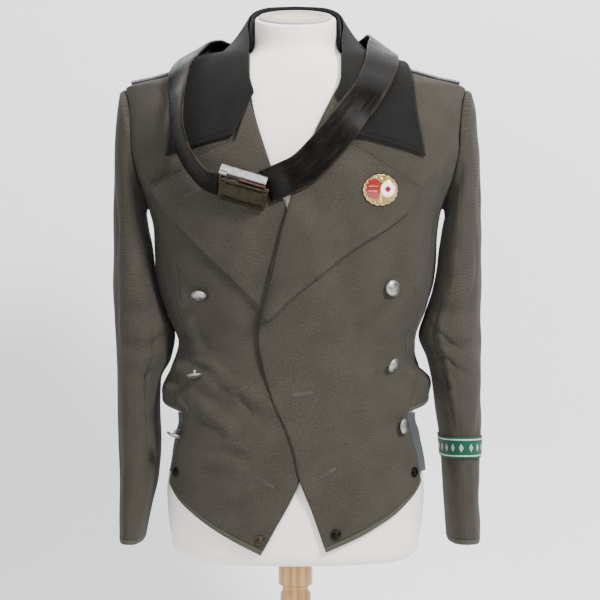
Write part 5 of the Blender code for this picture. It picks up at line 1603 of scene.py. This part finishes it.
def cord_look(name):
    """Silver cord with its twist, painted dark in the twist's grooves for their shade and light on the
    strands' tops for their highlight.
    """
    look = Look(name, 0.45, 0.35)
    flat = look.places()
    twist = look.wave(look.stretched(flat, degrees=32), 130.0, 0.3)
    cloud = look.noise(flat, 90.0, 3.0, 0.6)
    # Painted shade and highlight: dark in the grooves of the twist, light on the strands.
    colour = look.mixed(look.ranged(twist, 0.1, 0.8), (0.05, 0.05, 0.046), (0.30, 0.30, 0.28))
    look.colour(look.mixed(look.ranged(cloud, 0.55, 0.75, 0.0, 0.35), colour, (0.17, 0.165, 0.13)))
    look.bump(twist, 0.6, 0.0004)
    return look.material


def ribbon(name):
    """Green ribbon with two pale lines and a woven row of small lozenges in place of lettering."""
    look = Look(name, 0.75, Sheen_Weight=0.04, Specular_IOR_Level=0.2)
    apart = look.node("ShaderNodeSeparateXYZ", {0: look.places()})
    along, over = apart.outputs[0], apart.outputs[1]
    half = (BAND_TOP - BAND_BOTTOM) / 2
    from_middle = look.away(over, half)
    border = look.ranged(look.away(from_middle, half - 0.0034), 0.0010, 0.0005, smooth=True)
    step = 0.0190
    place = look.math("FRACT", look.math("DIVIDE", look.plus(along, 1.0), step))
    sideways = look.times(look.away(place, 0.5), step)
    reach = look.plus(look.times(sideways, 1.25), from_middle)
    lozenge = look.ranged(look.away(reach, 0.0042), 0.0013, 0.0008, smooth=True)
    core = look.ranged(reach, 0.0016, 0.0011, smooth=True)
    pale = look.math("MAXIMUM", border, look.math("MAXIMUM", lozenge, core))
    weave = look.wave(look.places(), 330.0, 0.2)
    cloth = look.mixed(weave, (0.002, 0.038, 0.019), (0.004, 0.080, 0.042))
    look.colour(look.mixed(pale, cloth, (0.50, 0.54, 0.48)))
    look.bump(look.plus(weave, look.times(pale, 1.5)), 0.5, 0.0004)
    return look.material


def wood(name, dark, light):
    """Varnished wood, its grain along the post."""
    look = Look(name, 0.38, Coat_Weight=0.25, Coat_Roughness=0.2)
    place = look.stretched(look.places(flat=False), (1.0, 1.0, 0.05))
    grain = look.noise(place, 210.0, 5.0, 0.62)
    rings = look.wave(place, 26.0, 5.0)
    share = look.plus(look.times(grain, 0.75), look.times(rings, 0.3))
    look.colour(look.mixed(look.ranged(share, 0.35, 0.85), light, dark))
    look.bump(grain, 0.15, 0.0003)
    return look.material


def sweep():
    """A plain pale floor that curves up behind. From its back it can be seen through."""
    bend = [(SWEEP_TURN + SWEEP_TURN * math.sin(t), SWEEP_TURN - SWEEP_TURN * math.cos(t))
            for t in np.radians(np.arange(7.5, 91, 7.5))]
    profile = [(SWEEP_FRONT, 0.0), (SWEEP_TURN, 0.0), *bend, (2 * SWEEP_TURN, SWEEP_TOP)]
    builder = bmesh.new()
    sides = (-SWEEP_HALF_WIDTH, SWEEP_HALF_WIDTH)
    rows = [[builder.verts.new((x, y, z)) for x in sides] for y, z in profile]
    for (a, b), (c, d) in zip(rows, rows[1:]):
        builder.faces.new((a, b, d, c))
    paper = Look("pale paper", 0.9)
    cloud = paper.ranged(paper.noise(paper.places(flat=False), 2.0), 0.3, 0.7)
    paper.colour(paper.mixed(cloud, (0.86, 0.87, 0.875), (0.89, 0.895, 0.90)))
    from_behind = paper.node("ShaderNodeNewGeometry").outputs["Backfacing"]
    paper.links.new(paper.minus(1.0, from_behind), paper.shader.inputs["Alpha"])
    return finished("sweep", builder, paper.material, 180)


def stage():
    """The sweep, soft lights, a pale sky and the camera."""
    sweep()
    for name, place, aim, size, power in LIGHTS:
        lamp = bpy.data.lights.new(name, "AREA")
        lamp.size = size
        lamp.energy = power
        made = linked(name, lamp)
        made.location = place
        made.rotation_euler = (Vector(aim) - Vector(place)).to_track_quat("-Z", "Y").to_euler()
    world = bpy.data.worlds.new("soft sky")
    world.use_nodes = True
    world.node_tree.nodes["Background"].inputs["Color"].default_value = (0.95, 0.97, 1.0, 1.0)
    world.node_tree.nodes["Background"].inputs["Strength"].default_value = SKY
    bpy.context.scene.world = world

    lens = bpy.data.cameras.new("camera")
    lens.sensor_width = 36.0
    lens.angle = math.radians(CAMERA_ANGLE)
    camera = linked("camera", lens)
    camera.location = CAMERA
    camera.rotation_euler = (math.pi / 2, 0, 0)
    bpy.context.scene.camera = camera


def cloth(piece, slot, held, rests_on, *nodes):
    """A piece of cloth in place of its nodes. A soft sheet in place of its nodes."""
    stands_for(piece, slot, *nodes)


def dress_the_form():
    """The stand, the form and every piece of cloth."""
    grey = ((0.0222, 0.0195, 0.0155), (0.068, 0.060, 0.0485))
    main = wool("grey twill", *grey, band=(0.075, 0.074, 0.056))
    folded = wool("grey twill, folded edge", *grey, stitch=0.0022)
    charcoal = ((0.0050, 0.0048, 0.0046), (0.0150, 0.0142, 0.0135))
    dark = wool("charcoal twill", *charcoal, stitch=COLLAR_STITCH, wale=0.0011)
    lining = plain_cloth("blue grey lining", (0.022, 0.026, 0.031), (0.045, 0.051, 0.059))
    canvas = plain_cloth("cream canvas", (0.84, 0.79, 0.725), (0.90, 0.855, 0.79), 1400.0)
    disc = plain_cloth("cream disc", (0.50, 0.43, 0.29), (0.60, 0.53, 0.38), 1200.0, 0.6)
    # Painted shade: the cap's rim is painted grey, darker than the cream disc, for the shade where it curves
    # over the neck's edge.
    cap = plain_cloth("cap rim, painted shade", (0.34, 0.32, 0.30), (0.44, 0.42, 0.395), 1200.0, 0.7)
    underlay = plain_cloth("dark underlay", (0.012, 0.012, 0.013), (0.022, 0.022, 0.024), 2200.0)

    post, base = stand(wood("pale wood", (0.28, 0.125, 0.032), (0.55, 0.33, 0.135)))
    stands_for(post, "wood", "post")
    stands_for(base, "wood", "base")
    stands_for(dress_form(canvas), "canvas", "dress_form")
    stands_for(neck_cap(cap, disc), "cap", "neck_cap")
    cloth(front("front_left_cloth", 1, OVER_EDGE, main), "wool", "draped", ["dress_form"], "front_left")
    under_edge = tuple((z, -x) for z, x in UNDER_EDGE)
    cloth(front("front_right_cloth", -1, under_edge, main), "wool", "draped", ["dress_form"], "front_right")
    cloth(back("back_cloth", main), "wool", "draped", ["dress_form"], "back")
    for name, side, table in (("left", 1, LEFT_LAPEL), ("right", -1, RIGHT_LAPEL)):
        cloth(side_panel(f"side_{name}_cloth", side, main), "wool", "draped", ["dress_form"], f"side_{name}")
        nodes = (f"sleeve_top_{name}", f"sleeve_under_{name}")
        cloth(sleeve(f"sleeve_{name}_cloth", side, main), "wool", "hung", ["dress_form"], *nodes)
        turned_back = lapel(f"lapel_{name}_cloth", side, table, folded)
        cloth(turned_back, "wool", "folded", [f"front_{name}"], f"lapel_{name}")
        strip = lining_strip(f"lining_{name}_cloth", side, lining)
        cloth(strip, "lining", "hung", ["dress_form"], f"lining_{name}")
        for made in shoulder_board(f"board_{name}", side, underlay, cord_look("silver cord")):
            stands_for(made, "cord", f"board_{name}")
    cloth(collar(dark), "dark_wool", "folded", ["dress_form"], "collar")
    cloth(collar_stand(dark), "dark_wool", "stretched", ["dress_form"], "collar_stand")
    cloth(cuff_band(ribbon("green ribbon")), "green", "stretched", ["sleeve_left_cloth"], "cuff_band")


def fasten():
    """The belt and its buckle, the buttons, buttonholes and snaps, and the badge."""
    silver = metal("silver", (0.17, 0.165, 0.155), (0.44, 0.43, 0.41), 0.38, 1300.0)
    steel = metal("grey steel", (0.16, 0.16, 0.155), (0.34, 0.34, 0.33), 0.50, 1800.0, 0.4)
    brass = metal("dark brass", (0.034, 0.030, 0.021), (0.072, 0.061, 0.040), 0.52, 700.0, 0.15)
    copper = metal("worn copper", (0.060, 0.034, 0.027), (0.150, 0.090, 0.072), 0.55, 700.0, 0.3)
    black = metal("black snap", (0.004, 0.004, 0.0035), (0.030, 0.027, 0.021), 0.35, 700.0, 0.2)
    gilt = metal("gilt", (0.55, 0.36, 0.12), (0.90, 0.66, 0.28), 0.25, 900.0, 0.2)
    thread = plain_cloth("dark thread", (0.020, 0.020, 0.018), (0.040, 0.038, 0.033), 3000.0)
    hole_thread = plain_cloth("buttonhole thread", (0.024, 0.022, 0.018), (0.056, 0.051, 0.043), 3000.0)

    stands_for(belt(leather("worn leather")), "leather", "belt")
    face, back_plate = buckle(steel, brass, copper)
    stands_for(face, "dark_metal", "buckle_face")
    stands_for(back_plate, "steel", "buckle_plate")
    for entry in BUTTONS:
        stands_for(button(*entry, silver, thread), "silver", entry[0])
    for name, where, start, end in BUTTONHOLES:
        stands_for(buttonhole(name, *hole_path(where, start, end), hole_thread), "wool")
    for entry in SNAPS:
        stands_for(snap(*entry, brass if entry[0] == BRASS_SNAP else black), "dark_metal", entry[0])
    red, white = enamel("red enamel", (0.19, 0.002, 0.006)), enamel("white enamel", (0.78, 0.76, 0.70))
    stands_for(badge(gilt, red, white), "enamel", "badge")


stage()
dress_the_form()
fasten()
